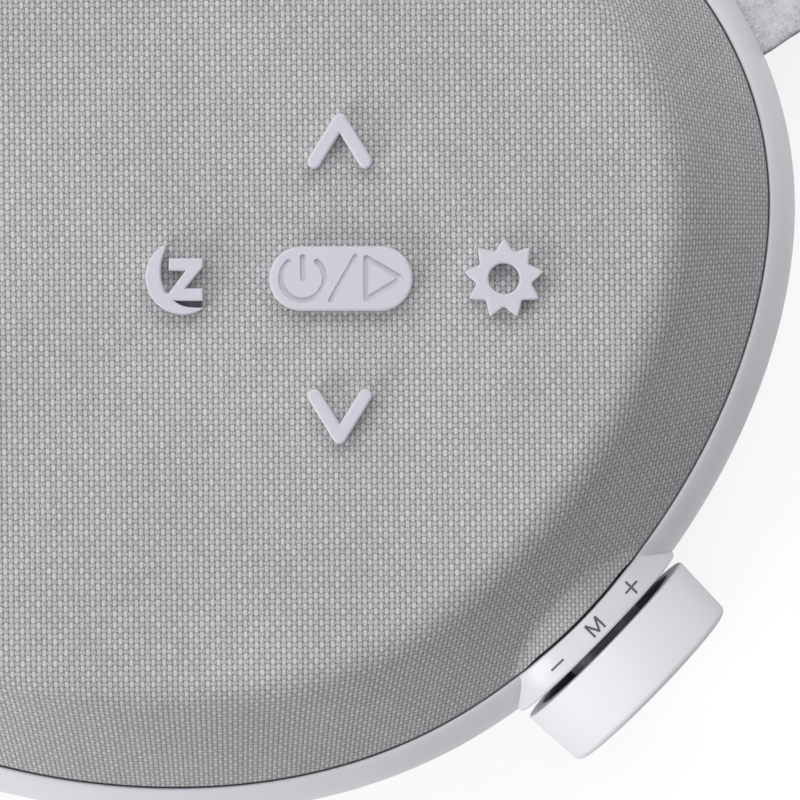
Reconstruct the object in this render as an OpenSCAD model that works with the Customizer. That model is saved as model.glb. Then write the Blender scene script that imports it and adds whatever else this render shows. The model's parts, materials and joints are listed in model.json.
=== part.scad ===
/* [Body outline] */
// Mean radius of the outline where the fabric top meets the rim
mean_r = 57.9; // [50:0.1:75]
// How far the outline is stretched along its long axis
oval = 5.17; // [0:0.01:7]
// Fourth-order part of the outline, which makes it fuller than an ellipse
fullness = 0.77; // [0:0.01:1.2]
// Sixth-order part of the outline, which softens its two ends
end_ease = 0.22; // [0:0.01:0.3]
// Direction of the long axis, in degrees from +X
long_axis = 24; // [0:1:90]

/* [Housing] */
// Height of the rim's upper edge
rim_z = 22.4; // [21:0.1:30]
// How far the side wall bulges out past the rim's inner edge
wall_out = 3.6; // [2.4:0.1:6]
// How far the bottom edge of the wall tucks in
foot_in = 2.5; // [1:0.1:5]
// Wall thickness of the housing
wall = 2.2; // [1.6:0.1:2.6]
// Height of the housing's bottom edge above the table
base_z = 1.5; // [1:0.1:2.5]
// Thickness of the base plate
plate_t = 1.9; // [1.5:0.1:2.5]
// How far the rubber pad is recessed into the base plate
pad_recess = 0.6; // [0.3:0.1:1]
// Distance of the case screws inside the outline
screw_in = 10; // [9:0.1:13]

/* [Fabric top] */
// Height of the flat fabric top above the rim
crown = 14; // [10:0.1:18]
// Plan distance from the rim to the top's edge
slope_run = 10.5; // [8:0.1:13]
// Radius of the rounded edge between slope and top
edge_r = 5; // [3:0.1:8]
// Gap between the fabric and the rim
rim_gap = 0.2; // [0.1:0.05:0.6]
// Thickness of the fabric
fabric_t = 0.6; // [0.4:0.1:1]
// Thickness of the grille frame under the fabric
frame_t = 2; // [1.6:0.1:2.6]
// Thickness of the foam gasket under the grille frame
gasket_t = 0.6; // [0.4:0.1:1.2]

/* [Dial] */
// Height of the dial's axis above the table
dial_z = 14.5; // [13:0.1:18]
// Direction in which the dial points, in degrees from +X
dial_turn = -44.2; // [-60:0.1:-20]
// Sideways offset of the dial's axis from the centre
dial_side = 3.05; // [-6:0.05:6]
// Radius of the round boss behind the dial
boss_r = 12.3; // [11.5:0.1:13]
// How far the boss's face stands past the rim's inner edge
boss_proud = 3.05; // [2.4:0.05:6]
// Gap between the dial and the boss
dial_gap = 1; // [0.9:0.02:2]
// Radius of the dial at its back edge
dial_r = 12.1; // [11:0.05:13]
// Radius of the dial at its front edge
dial_front_r = 11.8; // [10.6:0.05:12.4]
// Length of the dial along its axis
dial_len = 7.45; // [6.8:0.05:12]
// Travel of the dial when it is pressed
dial_press = 0.5; // [0.3:0.1:0.6]

/* [Keys] */
// Centre of the key group along X
pad_x = 14.64; // [8:0.1:18]
// Centre of the key group along Y
pad_y = 1.36; // [-4:0.1:6]
// Distance from the middle key to the left and right keys
pitch_x = 17.4; // [16.5:0.1:19]
// Distance from the middle key to the upper and lower keys
pitch_y = 14.7; // [13:0.1:17]
// Height of the key tops above the fabric
key_proud = 1.5; // [1:0.1:2.5]
// Travel of the keys
key_travel = 0.6; // [0.3:0.05:0.8]
// Clearance round each key in its opening
key_gap = 0.25; // [0.15:0.05:0.4]
// Width of the middle key
pill_w = 15.4; // [12:0.1:17]
// Depth of the middle key
pill_d = 6.93; // [5:0.1:8]

/* [Strap] */
// Direction in which the strap leaves the housing, in degrees from +X
strap_turn = 33; // [20:1:50]
// Width of the felt strap
strap_w = 14; // [10:0.5:16]
// Thickness of the felt
strap_t = 1.8; // [1.2:0.1:2]
// Length of the strap's loop
strap_len = 72; // [55:1:110]
// Height of the strap's bar above the table
strap_z = 12.5; // [11.5:0.1:14]

/* [Speaker] */
// Radius of the speaker's flange
speaker_r = 20.5; // [18.5:0.1:22.5]
// Speaker centre along X
speaker_x = -28; // [-28.4:0.1:-27.2]
// Speaker centre along Y
speaker_y = -10.2; // [-11:0.1:-9.6]
// Travel of the cone each way
cone_travel = 0.8; // [0.4:0.1:1]

/* [Hidden] */

$fn = 48;
SIDES = 80;                 // straight sides in a lofted outline
ARC = 6;                    // steps in a lofted arc
FIT = 0.05;                 // radial clearance of a running fit
SEAT = 0.2;                 // clearance round a seated piece
CUT = 1;                    // how far a cutter runs past a face

// Heights of the stack, from the table up
pad_top = base_z + pad_recess;
plate_top = base_z + plate_t;
flange_t = 1.6;
ledge_z = rim_z - 1.6;
frame_z = ledge_z + gasket_t;
top_z = rim_z + crown;
frame_top = top_z - fabric_t - SEAT / 4;
ceiling_z = frame_top - frame_t;

// Depths of the outline's steps, all measured from the rim's inner edge
plate_in = foot_in + 1;
flange_in = plate_in + 3;
ledge_in = 3.4;
pad_in = 17;
edge_break = 0.25;

// Slope of the fabric top
slope = atan(crown / (slope_run - rim_gap / 2));

// Dial
dial_u = reach(dial_turn) + boss_proud;
dial_back = dial_u + dial_gap;
boss_plate = 2;
boss_wall = 2;
lens_in = 0.35;             // how far the fabric stays back from the boss
bush_r = 3.5;
bush_len = 3;
shaft_r = 3;
hub_r = 4.8;
nut_af = 10;
encoder_w = 12;
encoder_d = 6.5;

// Key heights
key_top = top_z + key_proud;
flange_top = ceiling_z - 0.3;
flange_bot = flange_top - 1;
stem_bot = flange_bot - 1.5;
stem_r = 1.25;
plunger_r = 1.6;
switch_w = 6;
switch_h = 4;
switch_top = stem_bot - key_travel - 0.2;
board_top = switch_top - switch_h;
board_t = 1.2;
chevron_in = 0.13;          // the arrow keys stand this far left of the middle key
chevron_w = 5.44;
chevron_h = 4.42;
chevron_stroke = 1.5;
moon_r = 3.84;
moon_at = [0.37, -0.06];
moon_bite_r = 3.98;
moon_bite_at = [2.05, 0.88];
sun_r = 4.3;
sun_root = 3.08;
sun_hole = 1.63;
sun_rays = 9;
sleep_x = pad_x - pitch_x;
light_x = pad_x + pitch_x;
KEY_AT = [
    [pad_x - chevron_in, pad_y + pitch_y],
    [pad_x - chevron_in, pad_y - pitch_y],
    [pad_x, pad_y],
    [sleep_x, pad_y],
    [light_x, pad_y],
];

KEY_FOOT = [[9, 8], [9, 8], [pill_w + 2.4, pill_d + 2.2], [9.2, 8.8], [11.2, 11]];

// Board sizes
key_board_w = light_x - sleep_x + 12;
key_board_d = 2 * pitch_y + 9;
post_r = 2.6;
pilot_r = 1;
screw_r = 0.95;
head_r = 1.9;
head_h = 1.3;
post_x = key_board_w / 2 - 4;
post_y = key_board_d / 2 - 4;
KEY_POSTS = [for (x = [-1, 1], y = [-1, 1]) [pad_x + x * post_x, pad_y + y * post_y]];
main_z = plate_top + 2.2;
main_t = 1.6;
main_w = 40;
main_d = 30;
main_x = speaker_x + 1;
main_y = speaker_y - 1;
MAIN_POSTS = [for (x = [-1, 1], y = [-1, 1]) [main_x + x * (main_w / 2 - 3), main_y + y * (main_d / 2 - 3)]];
battery_w = 42;
battery_d = 30;
battery_h = 7.5;
foam_t = 0.8;
battery_x = pad_x + 3;
battery_y = pad_y + 4;

// USB socket
usb_turn = 180;
usb_side = side_shift(usb_turn);
usb_w = 8.94;
usb_h = 3.26;
usb_len = 7.4;
usb_z = main_z + main_t + usb_h / 2;
usb_mouth = reach(usb_turn) + wall_offset(usb_z) - 0.9;

// Strap
strap_side = side_shift(strap_turn);
strap_u = reach(strap_turn) + wall_out;
bar_r = 1;
bar_u = strap_u - 4.5;
bend_r = bar_r + 0.15 + strap_t / 2;
fold_r = 2.4;
pocket_h = 2 * (bend_r + strap_t / 2 + 0.45);
pocket_w = strap_w + 0.8;
lug_wall = 2.5;
lay_z = 0.3;

// Case screws
SCREW_AT = [72, 128, 232, 282, 350];
case_screw_r = 1.4;
case_post_r = 3.1;
case_split = 14;
web_t = 2.4;
web_z = plate_top + 1;

// Speaker heights
speaker_gasket_t = cone_travel + 0.8;
rim_top = ceiling_z - speaker_gasket_t;
rim_t = 1.2;
flange_w = 3.6;
surround_w = 3.3;
mouth_r = speaker_r - flange_w;
cone_out = mouth_r - surround_w;
speaker_screw_in = 1.4;
speaker_post_r = 1.5;
basket_t = 1.2;
window_w = 10;
coil_r = 6;
coil_t = 0.3;
cone_deep = 4.6;
top_plate_z = rim_top - 12.5;
top_plate_t = 2;
magnet_t = 5.5;
magnet_r = speaker_r - 6.5;
bowl_r = magnet_r - 0.8;
yoke_t = 2;
yoke_z = top_plate_z - magnet_t - yoke_t;
bowl_z = top_plate_z + top_plate_t;
spider_z = bowl_z + cone_travel + 2.6;

// ---- Outline -----------------------------------------------------------
// The outline is given by its support function: the distance from the centre
// to the tangent line whose outward normal points at angle a. Adding a
// constant to it gives an exactly parallel outline.
function reach(a) = mean_r
    + oval * cos(2 * (a - long_axis))
    + fullness * cos(4 * (a - long_axis))
    - end_ease * cos(6 * (a - long_axis));

// Sideways shift of the touching point along that tangent line
function side_shift(a) =
    -2 * oval * sin(2 * (a - long_axis))
    - 4 * fullness * sin(4 * (a - long_axis))
    + 6 * end_ease * sin(6 * (a - long_axis));

function edge(a, off) = let (s = reach(a) + off, d = side_shift(a))
    [s * cos(a) - d * sin(a), s * sin(a) + d * cos(a)];

function outline(off) = [for (i = [0 : SIDES - 1]) edge(360 * i / SIDES, off)];

module slab(off, z0, z1) {
    translate([0, 0, z0]) linear_extrude(z1 - z0) polygon(outline(off));
}

// A closed profile of [offset, height] points carried round the outline
module ring_loft(profile) {
    n = len(profile);
    points = [
        for (i = [0 : SIDES - 1], p = profile)
            let (e = edge(360 * i / SIDES, p[0])) [e[0], e[1], p[1]]
    ];
    faces = [
        for (i = [0 : SIDES - 1], k = [0 : n - 1])
            let (j = (i + 1) % SIDES, m = (k + 1) % n)
                [i * n + k, j * n + k, j * n + m, i * n + m]
    ];
    polyhedron(points, faces);
}

// A solid of stacked outlines, given from the bottom up as [offset, height]
module stack_loft(rings) {
    n = len(rings);
    points = [
        for (r = rings, i = [0 : SIDES - 1])
            let (e = edge(360 * i / SIDES, r[0])) [e[0], e[1], r[1]]
    ];
    sides = [
        for (k = [0 : n - 2], i = [0 : SIDES - 1])
            let (j = (i + 1) % SIDES)
                [k * SIDES + i, (k + 1) * SIDES + i, (k + 1) * SIDES + j, k * SIDES + j]
    ];
    lid = [for (i = [SIDES - 1 : -1 : 0]) (n - 1) * SIDES + i];
    floor_face = [for (i = [0 : SIDES - 1]) i];
    polyhedron(points, concat(sides, [lid, floor_face]));
}

// ---- Shared shapes -----------------------------------------------------
module at_dial() {
    translate([0, 0, dial_z]) rotate([0, 0, dial_turn]) translate([0, dial_side, 0])
        rotate([0, 90, 0]) children();
}

module at_usb() {
    rotate([0, 0, usb_turn]) translate([0, usb_side, usb_z]) children();
}

module at_strap() {
    rotate([0, 0, strap_turn]) translate([0, strap_side, 0]) children();
}

module at_speaker() {
    translate([speaker_x, speaker_y, 0]) children();
}

module rod(r, z0, z1) {
    translate([0, 0, z0]) cylinder(r = r, h = z1 - z0);
}

module tube(r_out, r_in, z0, z1) {
    difference() {
        rod(r_out, z0, z1);
        rod(r_in, z0 - CUT, z1 + CUT);
    }
}

module stadium(w, d) {
    square([w - d, d], center = true);
    for (x = [-1, 1]) translate([x * (w - d) / 2, 0]) circle(d = d);
}

// A pan-head screw pointing down, its head's underside at z = 0
module screw(r, length, r_head, h_head) {
    difference() {
        union() {
            rod(r_head, 0, h_head);
            rod(r, -length, 0.1);
        }
        for (a = [0, 90]) rotate([0, 0, a])
            translate([-r_head * 0.6, -0.2, h_head * 0.45]) cube([r_head * 1.2, 0.4, h_head]);
    }
}

// The volume under the fabric's outer face, taken in by t
module dome(t) {
    centre_in = slope_run + edge_r * tan(slope / 2);
    foot = rim_gap / 2 + t / sin(slope);
    skirt = rim_gap / 2 + t;
    arc = [
        for (i = [0 : ARC])
            let (a = slope * (1 - i / ARC))
                [-centre_in + (edge_r - t) * sin(a), top_z - edge_r + (edge_r - t) * cos(a)]
    ];
    knee = max(frame_z + 0.05, rim_z - (foot - skirt) * tan(slope));
    stack_loft(concat([[-skirt, frame_z], [-skirt, knee]], arc));
}

// The round body behind the dial, carried in under the fabric
module boss_round(grow) {
    at_dial() rod(boss_r + grow, dial_u - 2 * boss_r, dial_u + CUT);
}

// The part of the dial's boss that lies under the fabric, taken in by t
module boss_hump(t) {
    intersection() {
        boss_round(-t);
        slab(-lens_in - t, frame_z, top_z - crown / 2);
    }
}

module covered(t) {
    difference() {
        dome(t);
        difference() {
            boss_round(rim_gap);
            slab(-lens_in - t, 0, top_z);
        }
    }
    boss_hump(t);
}

// ---- Key glyphs --------------------------------------------------------
module chevron(grow) {
    r = chevron_stroke / 2 + grow;
    for (side = [-1, 1]) {
        run = [side * chevron_w / 2, -chevron_h];
        length = norm(run);
        translate([0, chevron_h / 2]) rotate(atan2(run[1], run[0])) {
            translate([length / 2, 0]) square([length, 2 * r], center = true);
            translate([length, 0]) circle(r);
        }
    }
    translate([0, chevron_h / 2]) circle(r);
}

module pill(grow) {
    stadium(pill_w + 2 * grow, pill_d + 2 * grow);
}

module crescent(grow) {
    difference() {
        translate(moon_at) circle(moon_r + grow);
        translate(moon_bite_at) circle(moon_bite_r - grow);
    }
}

module letter_z() {
    left = -0.98;
    right = 2.7;
    high = 2.17;
    low = -2.38;
    bar = 1.34;
    polygon([
        [left, high], [right, high], [right, high - 0.92], [0.7, low + bar], [right, low + bar],
        [right, low], [left, low], [left, low + 0.83], [1.05, high - bar], [left, high - bar],
    ]);
}

// The fabric seen between the crescent and the letter
module moon_inlay() {
    polygon([
        [-1.62, 1.9], [-1.14, 1.9], [-1.14, 0.66], [0.72, 0.66],
        [-0.98, -1.32], [-1.1, -1.3], [-1.55, -0.4], [-1.72, 0.66],
    ]);
}

// The slots of the sleep key, closed so that one opening takes it
module moon_slots() {
    polygon([[-1.9, 2.17], [-0.5, 2.17], [1.2, 0.6], [-0.6, -2], [-2.2, -1.6], [-2.3, 1]]);
    polygon([[-0.6, -2.2], [2.4, -2.2], [2.4, -3.15], [0.4, -3.05], [-0.6, -2.5]]);
}

module star(grow) {
    step = 180 / sun_rays;
    polygon([
        for (i = [0 : sun_rays - 1])
            let (a = 90 + 360 * i / sun_rays)
                each [
                    (sun_r + 1.5 * grow) * [cos(a), sin(a)],
                    (sun_root + 0.08 + grow) * [cos(a + step * 0.8), sin(a + step * 0.8)],
                    (sun_root + 0.08 + grow) * [cos(a + step * 1.2), sin(a + step * 1.2)],
                ]
    ]);
}

module glyph(i) {
    if (i == 0) chevron(0);
    if (i == 1) mirror([0, 1]) chevron(0);
    if (i == 2) pill(0);
    if (i == 3) {
        crescent(0);
        letter_z();
    }
    if (i == 4) difference() {
        star(0);
        circle(sun_hole);
    }
}

// The glyph's outline without its inner openings, grown by a clearance
module glyph_outline(i, grow) {
    if (i == 0) chevron(grow);
    if (i == 1) mirror([0, 1]) chevron(grow);
    if (i == 2) pill(grow);
    if (i == 3) {
        crescent(grow);
        offset(delta = grow) {
            letter_z();
            moon_slots();
        }
    }
    if (i == 4) star(grow);
}

module key(i) {
    at = KEY_AT[i];
    foot = KEY_FOOT[i];
    translate([at[0], at[1], 0]) {
        translate([0, 0, flange_top]) linear_extrude(key_top - flange_top) glyph(i);
        translate([0, 0, flange_top]) linear_extrude(top_z - fabric_t - flange_top)
            glyph_outline(i, 0);
        translate([0, 0, flange_bot]) linear_extrude(flange_top - flange_bot)
            stadium(foot[0], foot[1]);
        rod(stem_r, stem_bot, flange_bot + 0.1);
    }
}

module key_patch(i) {
    at = KEY_AT[i];
    translate([at[0], at[1], top_z - fabric_t]) linear_extrude(fabric_t) {
        if (i == 3) moon_inlay();
        if (i == 4) circle(sun_hole - 0.1);
    }
}

module plunger(i) {
    at = KEY_AT[i];
    translate([at[0], at[1], 0]) rod(plunger_r, stem_bot - 2.6, stem_bot);
}

module key_openings(z0, z1) {
    for (i = [0 : len(KEY_AT) - 1]) translate([KEY_AT[i][0], KEY_AT[i][1], z0])
        linear_extrude(z1 - z0) glyph_outline(i, key_gap);
}

// ---- Housing -----------------------------------------------------------
function wall_offset(z) = z >= dial_z
    ? edge_break + (wall_out - edge_break) * sqrt(max(0, 1 - pow((z - dial_z) / (rim_z - dial_z), 2)))
    : -foot_in + (wall_out + foot_in) * sqrt(max(0, 1 - pow((dial_z - z) / (dial_z - base_z), 2)));

function wall_profile() = concat(
    [
        for (i = [0 : ARC])
            let (a = 90 * i / ARC)
                [edge_break + rim_gap / 2 + (wall_out - edge_break - rim_gap / 2) * sin(a),
                 dial_z + (rim_z - dial_z) * cos(a)]
    ],
    [
        for (i = [1 : ARC])
            let (a = 90 * i / ARC)
                [-foot_in + (wall_out + foot_in) * cos(a), dial_z - (dial_z - base_z) * sin(a)]
    ],
    [
        [-plate_in + SEAT, base_z],
        [-plate_in + SEAT, plate_top],
        [-flange_in, plate_top],
        [-flange_in, plate_top + flange_t],
    ],
    [
        for (i = [0 : 3])
            let (z = plate_top + flange_t + (ledge_z - 3 - plate_top - flange_t) * i / 3)
                [wall_offset(z) - wall, z]
    ],
    [
        [-ledge_in, ledge_z - 1.6],
        [-ledge_in, ledge_z],
        [rim_gap / 2, ledge_z],
        [rim_gap / 2, rim_z - edge_break],
    ]
);

module case_posts(r, z0, z1) {
    for (a = SCREW_AT) translate(edge(a, -screw_in)) rod(r, z0, z1);
}

// Upright webs that tie the case posts to the wall
module post_webs() {
    for (a = SCREW_AT) rotate([0, 0, a]) translate([reach(a) - screw_in, side_shift(a) - web_t / 2, web_z])
        cube([screw_in + wall / 2, web_t, case_split - 4 - web_z]);
}

module main_housing() color([0.87, 0.87, 0.89]) {
    difference() {
        union() {
            ring_loft(wall_profile());
            difference() {
                at_dial() rod(boss_r, dial_u - 12, dial_u);
                slab(rim_gap / 2, ledge_z, top_z);
            }
            intersection() {
                at_strap() translate([strap_u - 9.8, -pocket_w / 2 - lug_wall, strap_z - pocket_h / 2 - 1.6])
                    cube([7.8, pocket_w + 2 * lug_wall, pocket_h + 3.2]);
                slab(wall_out - 0.6, base_z, ledge_z);
            }
            case_posts(case_post_r, plate_top, case_split);
            post_webs();
        }
        slab(-plate_in + SEAT, base_z - CUT, plate_top);
        at_dial() {
            rod(boss_r - boss_wall, dial_u - 2 * boss_r, dial_u - boss_plate);
            rod(bush_r + 0.1, dial_u - boss_plate - CUT, dial_u + CUT);
            rod(boss_r + 0.6, dial_u, dial_u + 6);
        }
        at_strap() {
            translate([strap_u - 8.2, -pocket_w / 2, strap_z - pocket_h / 2]) cube([12, pocket_w, pocket_h]);
            translate([bar_u, 0, strap_z]) rotate([90, 0, 0])
                rod(bar_r + FIT, -pocket_w / 2 - 1.6, pocket_w / 2 + 1.6);
        }
        at_usb() translate([usb_mouth - 6, 0, 0]) rotate([90, 0, 90]) linear_extrude(10)
            stadium(usb_w + 2 * SEAT, usb_h + 2 * SEAT);
        case_posts(case_screw_r + 0.2, plate_top - CUT, case_split + CUT);
    }
}

module base_plate() color([0.82, 0.82, 0.84]) {
    difference() {
        union() {
            slab(-plate_in, base_z, plate_top);
            for (p = MAIN_POSTS) translate(p) rod(2.5, plate_top, main_z);
            // locating rib just inside the housing's flange
            difference() {
                slab(-flange_in - SEAT, plate_top, web_z - SEAT);
                slab(-flange_in - SEAT - 1.2, plate_top - CUT, plate_top + 2);
                case_posts(case_post_r + 2 * SEAT, plate_top - CUT, plate_top + 3);
                boss_round(2 * SEAT);
            }
        }
        slab(-pad_in, base_z - CUT, pad_top);
        case_posts(case_screw_r + 0.2, base_z - CUT, plate_top + CUT);
        case_posts(2.7, base_z - CUT, base_z + 1.1);
        for (p = MAIN_POSTS) translate(p) rod(pilot_r, pad_top + 0.3, main_z + CUT);
    }
}

module base_pad() color([0.3, 0.3, 0.31]) {
    slab(-pad_in - SEAT, 0, pad_top);
}

module case_screws() color("silver") {
    for (a = SCREW_AT) translate(edge(a, -screw_in)) translate([0, 0, base_z + 1.1]) mirror([0, 0, 1])
        screw(case_screw_r, case_split + 6 - base_z, 2.4, 0.9);
}

// ---- Fabric top --------------------------------------------------------
module grille_holes() {
    rings = 4;
    hole_pitch = 3.9;
    translate([speaker_x, speaker_y, 0]) {
        rod(1.1, ceiling_z - CUT, frame_top + CUT);
        for (k = [1 : rings], i = [0 : 6 * k - 1]) rotate([0, 0, 60 * i / k])
            translate([k * hole_pitch, 0, 0]) rod(1.1, ceiling_z - CUT, frame_top + CUT);
    }
}

module grille_frame() color([0.25, 0.25, 0.26]) {
    difference() {
        union() {
            difference() {
                covered(fabric_t + SEAT / 4);
                difference() {
                    covered(fabric_t + SEAT / 4 + frame_t);
                    slab(0, frame_z - 1, frame_z);
                }
                translate([0, 0, -0.01]) slab(-ledge_in, frame_z - 0.1, frame_z + 0.1);
                // flat seat for the speaker's flange
                at_speaker() rod(speaker_r + SEAT, rim_top - rim_t - SEAT, ceiling_z);
            }
            for (p = KEY_POSTS) translate(p) rod(post_r, board_top, ceiling_z + 0.5);
            at_speaker() for (a = [45 : 90 : 315]) rotate([0, 0, a]) translate([speaker_r - speaker_screw_in, 0, 0])
                rod(speaker_post_r, rim_top, ceiling_z + 0.5);
            intersection() {
                case_posts(case_post_r, case_split, ceiling_z + 0.5);
                dome(fabric_t + SEAT / 4 + frame_t / 2);
            }
            case_posts(case_post_r, case_split, frame_z + 0.5);
        }
        key_openings(ceiling_z - CUT, top_z);
        grille_holes();
        for (p = KEY_POSTS) translate(p) rod(pilot_r, board_top - CUT, board_top + 5);
        at_speaker() for (a = [45 : 90 : 315]) rotate([0, 0, a]) translate([speaker_r - speaker_screw_in, 0, 0])
            rod(pilot_r, rim_top - CUT, rim_top + 2.6);
        case_posts(case_screw_r + FIT, case_split - CUT, case_split + 7.6);
    }
}

module fabric_cover() color([0.67, 0.67, 0.67]) {
    difference() {
        covered(0);
        covered(fabric_t);
        slab(-rim_gap / 2 - fabric_t, frame_z - CUT, frame_z + 0.01);
        key_openings(ceiling_z, top_z + CUT);
    }
}

module frame_gasket() color([0.1, 0.1, 0.1]) {
    difference() {
        slab(0, ledge_z, frame_z);
        slab(-ledge_in + 0.2, ledge_z - CUT, frame_z + CUT);
        difference() {
            boss_round(rim_gap);
            slab(-lens_in, ledge_z - CUT, frame_z + CUT);
        }
    }
}

// ---- Keys --------------------------------------------------------------
module key_up() color([0.75, 0.75, 0.79]) key(0);
module key_down() color([0.75, 0.75, 0.79]) key(1);
module key_play() color([0.75, 0.75, 0.79]) key(2);
module key_sleep() color([0.75, 0.75, 0.79]) key(3);
module key_light() color([0.75, 0.75, 0.79]) key(4);
module sleep_key_patch() color([0.67, 0.67, 0.67]) key_patch(3);
module light_key_patch() color([0.67, 0.67, 0.67]) key_patch(4);
module plunger_up() color([0.15, 0.15, 0.15]) plunger(0);
module plunger_down() color([0.15, 0.15, 0.15]) plunger(1);
module plunger_play() color([0.15, 0.15, 0.15]) plunger(2);
module plunger_sleep() color([0.15, 0.15, 0.15]) plunger(3);
module plunger_light() color([0.15, 0.15, 0.15]) plunger(4);

module key_switches() color([0.2, 0.2, 0.2]) {
    for (at = KEY_AT) translate([at[0], at[1], 0]) difference() {
        translate([-switch_w / 2, -switch_w / 2, board_top]) cube([switch_w, switch_w, switch_h]);
        rod(plunger_r + FIT, stem_bot - 2.6 - key_travel - 0.1, switch_top + CUT);
    }
}

module key_board() color([0.1, 0.35, 0.2]) {
    difference() {
        translate([pad_x - key_board_w / 2, pad_y - key_board_d / 2, board_top - board_t])
            cube([key_board_w, key_board_d, board_t]);
        for (p = KEY_POSTS) translate(p) rod(pilot_r + 0.1, board_top - board_t - CUT, board_top + CUT);
    }
}

module key_board_screws() color("silver") {
    for (p = KEY_POSTS) translate(p) translate([0, 0, board_top - board_t]) mirror([0, 0, 1])
        screw(screw_r, 5, head_r, head_h);
}

// ---- Electronics on the base plate -------------------------------------
module main_board() color([0.1, 0.35, 0.2]) {
    difference() {
        union() {
            translate([main_x - main_w / 2, main_y - main_d / 2, main_z]) cube([main_w, main_d, main_t]);
            at_usb() translate([main_w / 2 - main_x - 1, -usb_w / 2 - 1.5, main_z - usb_z])
                cube([reach(usb_turn) - 0.5 - main_w / 2 + main_x, usb_w + 3, main_t]);
        }
        for (p = MAIN_POSTS) translate(p) rod(pilot_r + 0.1, main_z - CUT, main_z + main_t + CUT);
    }
}

module main_board_screws() color("silver") {
    for (p = MAIN_POSTS) translate(p) translate([0, 0, main_z + main_t]) screw(screw_r, 4.4, head_r, head_h);
}

module sound_chip() color([0.08, 0.08, 0.09]) {
    chip_w = 7;
    memory_w = 5;
    translate([main_x - chip_w / 2, main_y + 1, main_z + main_t]) cube([chip_w, chip_w, 1]);
    translate([main_x + chip_w + 1, main_y - 2, main_z + main_t]) cube([memory_w, memory_w + 1, 1.5]);
}

module board_capacitors() color([0.2, 0.25, 0.35]) {
    can_r = 2.5;
    can_h = 3.6;
    can_pitch = 8;
    for (i = [-1 : 1]) translate([main_x + can_pitch * i, main_y - main_d / 2 + 2 * can_r, 0])
        rod(can_r, main_z + main_t, main_z + main_t + can_h);
}

module night_light_leds() color([0.95, 0.93, 0.7]) {
    led_w = 3.5;
    led_d = 2.8;
    led_pitch = 5;
    for (i = [-1.5 : 1.5]) translate([main_x + led_pitch * i - led_w / 2, main_y + main_d / 2 - led_w, main_z + main_t])
        cube([led_w, led_d, 1]);
}

module usb_socket() color("silver") {
    at_usb() translate([usb_mouth - usb_len, 0, 0]) rotate([90, 0, 90]) {
        linear_extrude(usb_len) difference() {
            stadium(usb_w, usb_h);
            stadium(usb_w - 0.6, usb_h - 0.6);
        }
        linear_extrude(1.2) stadium(usb_w - 0.3, usb_h - 0.3);
        translate([0, 0, 1]) linear_extrude(usb_len - 1.8) square([6.7, 0.7], center = true);
    }
}

module battery_foam() color([0.15, 0.15, 0.16]) {
    translate([battery_x - battery_w / 2 + 2, battery_y - battery_d / 2 + 2, plate_top])
        cube([battery_w - 4, battery_d - 4, foam_t]);
}

module battery() color([0.75, 0.76, 0.78]) {
    r = 1.2;
    w = battery_w - 2 * r;
    translate([battery_x, battery_y, plate_top + foam_t]) linear_extrude(battery_h) {
        square([w, battery_d], center = true);
        square([battery_w, battery_d - 2 * r], center = true);
        for (x = [-1, 1], y = [-1, 1]) translate([x * w / 2, y * (battery_d / 2 - r)]) circle(r);
    }
}

// ---- Speaker -----------------------------------------------------------
module speaker_basket() color([0.2, 0.2, 0.21]) at_speaker() {
    difference() {
        rotate_extrude() polygon([
            [speaker_r, rim_top], [speaker_r, rim_top - rim_t], [mouth_r + 0.6, rim_top - rim_t],
            [bowl_r + 1, bowl_z + basket_t], [bowl_r + 1, bowl_z],
            [coil_r + 2, bowl_z], [coil_r + 2, bowl_z + basket_t],
            [bowl_r, bowl_z + basket_t], [mouth_r - 0.3, rim_top - rim_t], [mouth_r, rim_top],
        ]);
        for (a = [0 : 90 : 270]) rotate([0, 0, a]) translate([bowl_r - 3, -window_w / 2, bowl_z + 2])
            cube([flange_w + 8, window_w, rim_top - rim_t - basket_t - bowl_z - 2]);
        for (a = [45 : 90 : 315]) rotate([0, 0, a]) translate([speaker_r - speaker_screw_in, 0, 0])
            rod(pilot_r + 0.1, rim_top - rim_t - CUT, rim_top + CUT);
    }
}

module speaker_gasket() color([0.1, 0.1, 0.1]) at_speaker() {
    difference() {
        tube(speaker_r - 0.5, mouth_r + 0.9, rim_top, ceiling_z);
        for (a = [45 : 90 : 315]) rotate([0, 0, a]) translate([speaker_r - speaker_screw_in, 0, 0])
            rod(speaker_post_r + 0.1, rim_top - CUT, ceiling_z + CUT);
    }
}

module speaker_screws() color("silver") at_speaker() {
    for (a = [45 : 90 : 315]) rotate([0, 0, a]) translate([speaker_r - speaker_screw_in, 0, rim_top - rim_t])
        mirror([0, 0, 1]) screw(screw_r, 3.4, speaker_post_r, head_h);
}

module speaker_yoke() color("silver") at_speaker() {
    rod(magnet_r - 0.5, yoke_z, yoke_z + yoke_t);
    rod(coil_r - 0.45, yoke_z, top_plate_z + top_plate_t);
}

module speaker_magnet() color([0.25, 0.25, 0.27]) at_speaker() {
    tube(magnet_r, 8.5, yoke_z + yoke_t, top_plate_z);
}

module speaker_top_plate() color("silver") at_speaker() {
    tube(magnet_r - 0.5, coil_r + 0.75, top_plate_z, top_plate_z + top_plate_t);
}

module speaker_coil() color([0.72, 0.45, 0.25]) at_speaker() {
    tube(coil_r + coil_t, coil_r, top_plate_z + 0.3, rim_top - cone_deep - 0.6);
}

module speaker_cone() color([0.13, 0.13, 0.14]) at_speaker() {
    low = rim_top - cone_deep;
    rotate_extrude() polygon([
        [coil_r, low - 0.6], [coil_r + coil_t, low - 0.6], [cone_out - 0.4, rim_top - 0.6],
        [cone_out, rim_top - 0.6], [cone_out, rim_top - 0.1], [cone_out - 0.6, rim_top - 0.1],
        [coil_r + coil_t, low], [coil_r, low],
    ]);
}

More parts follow.
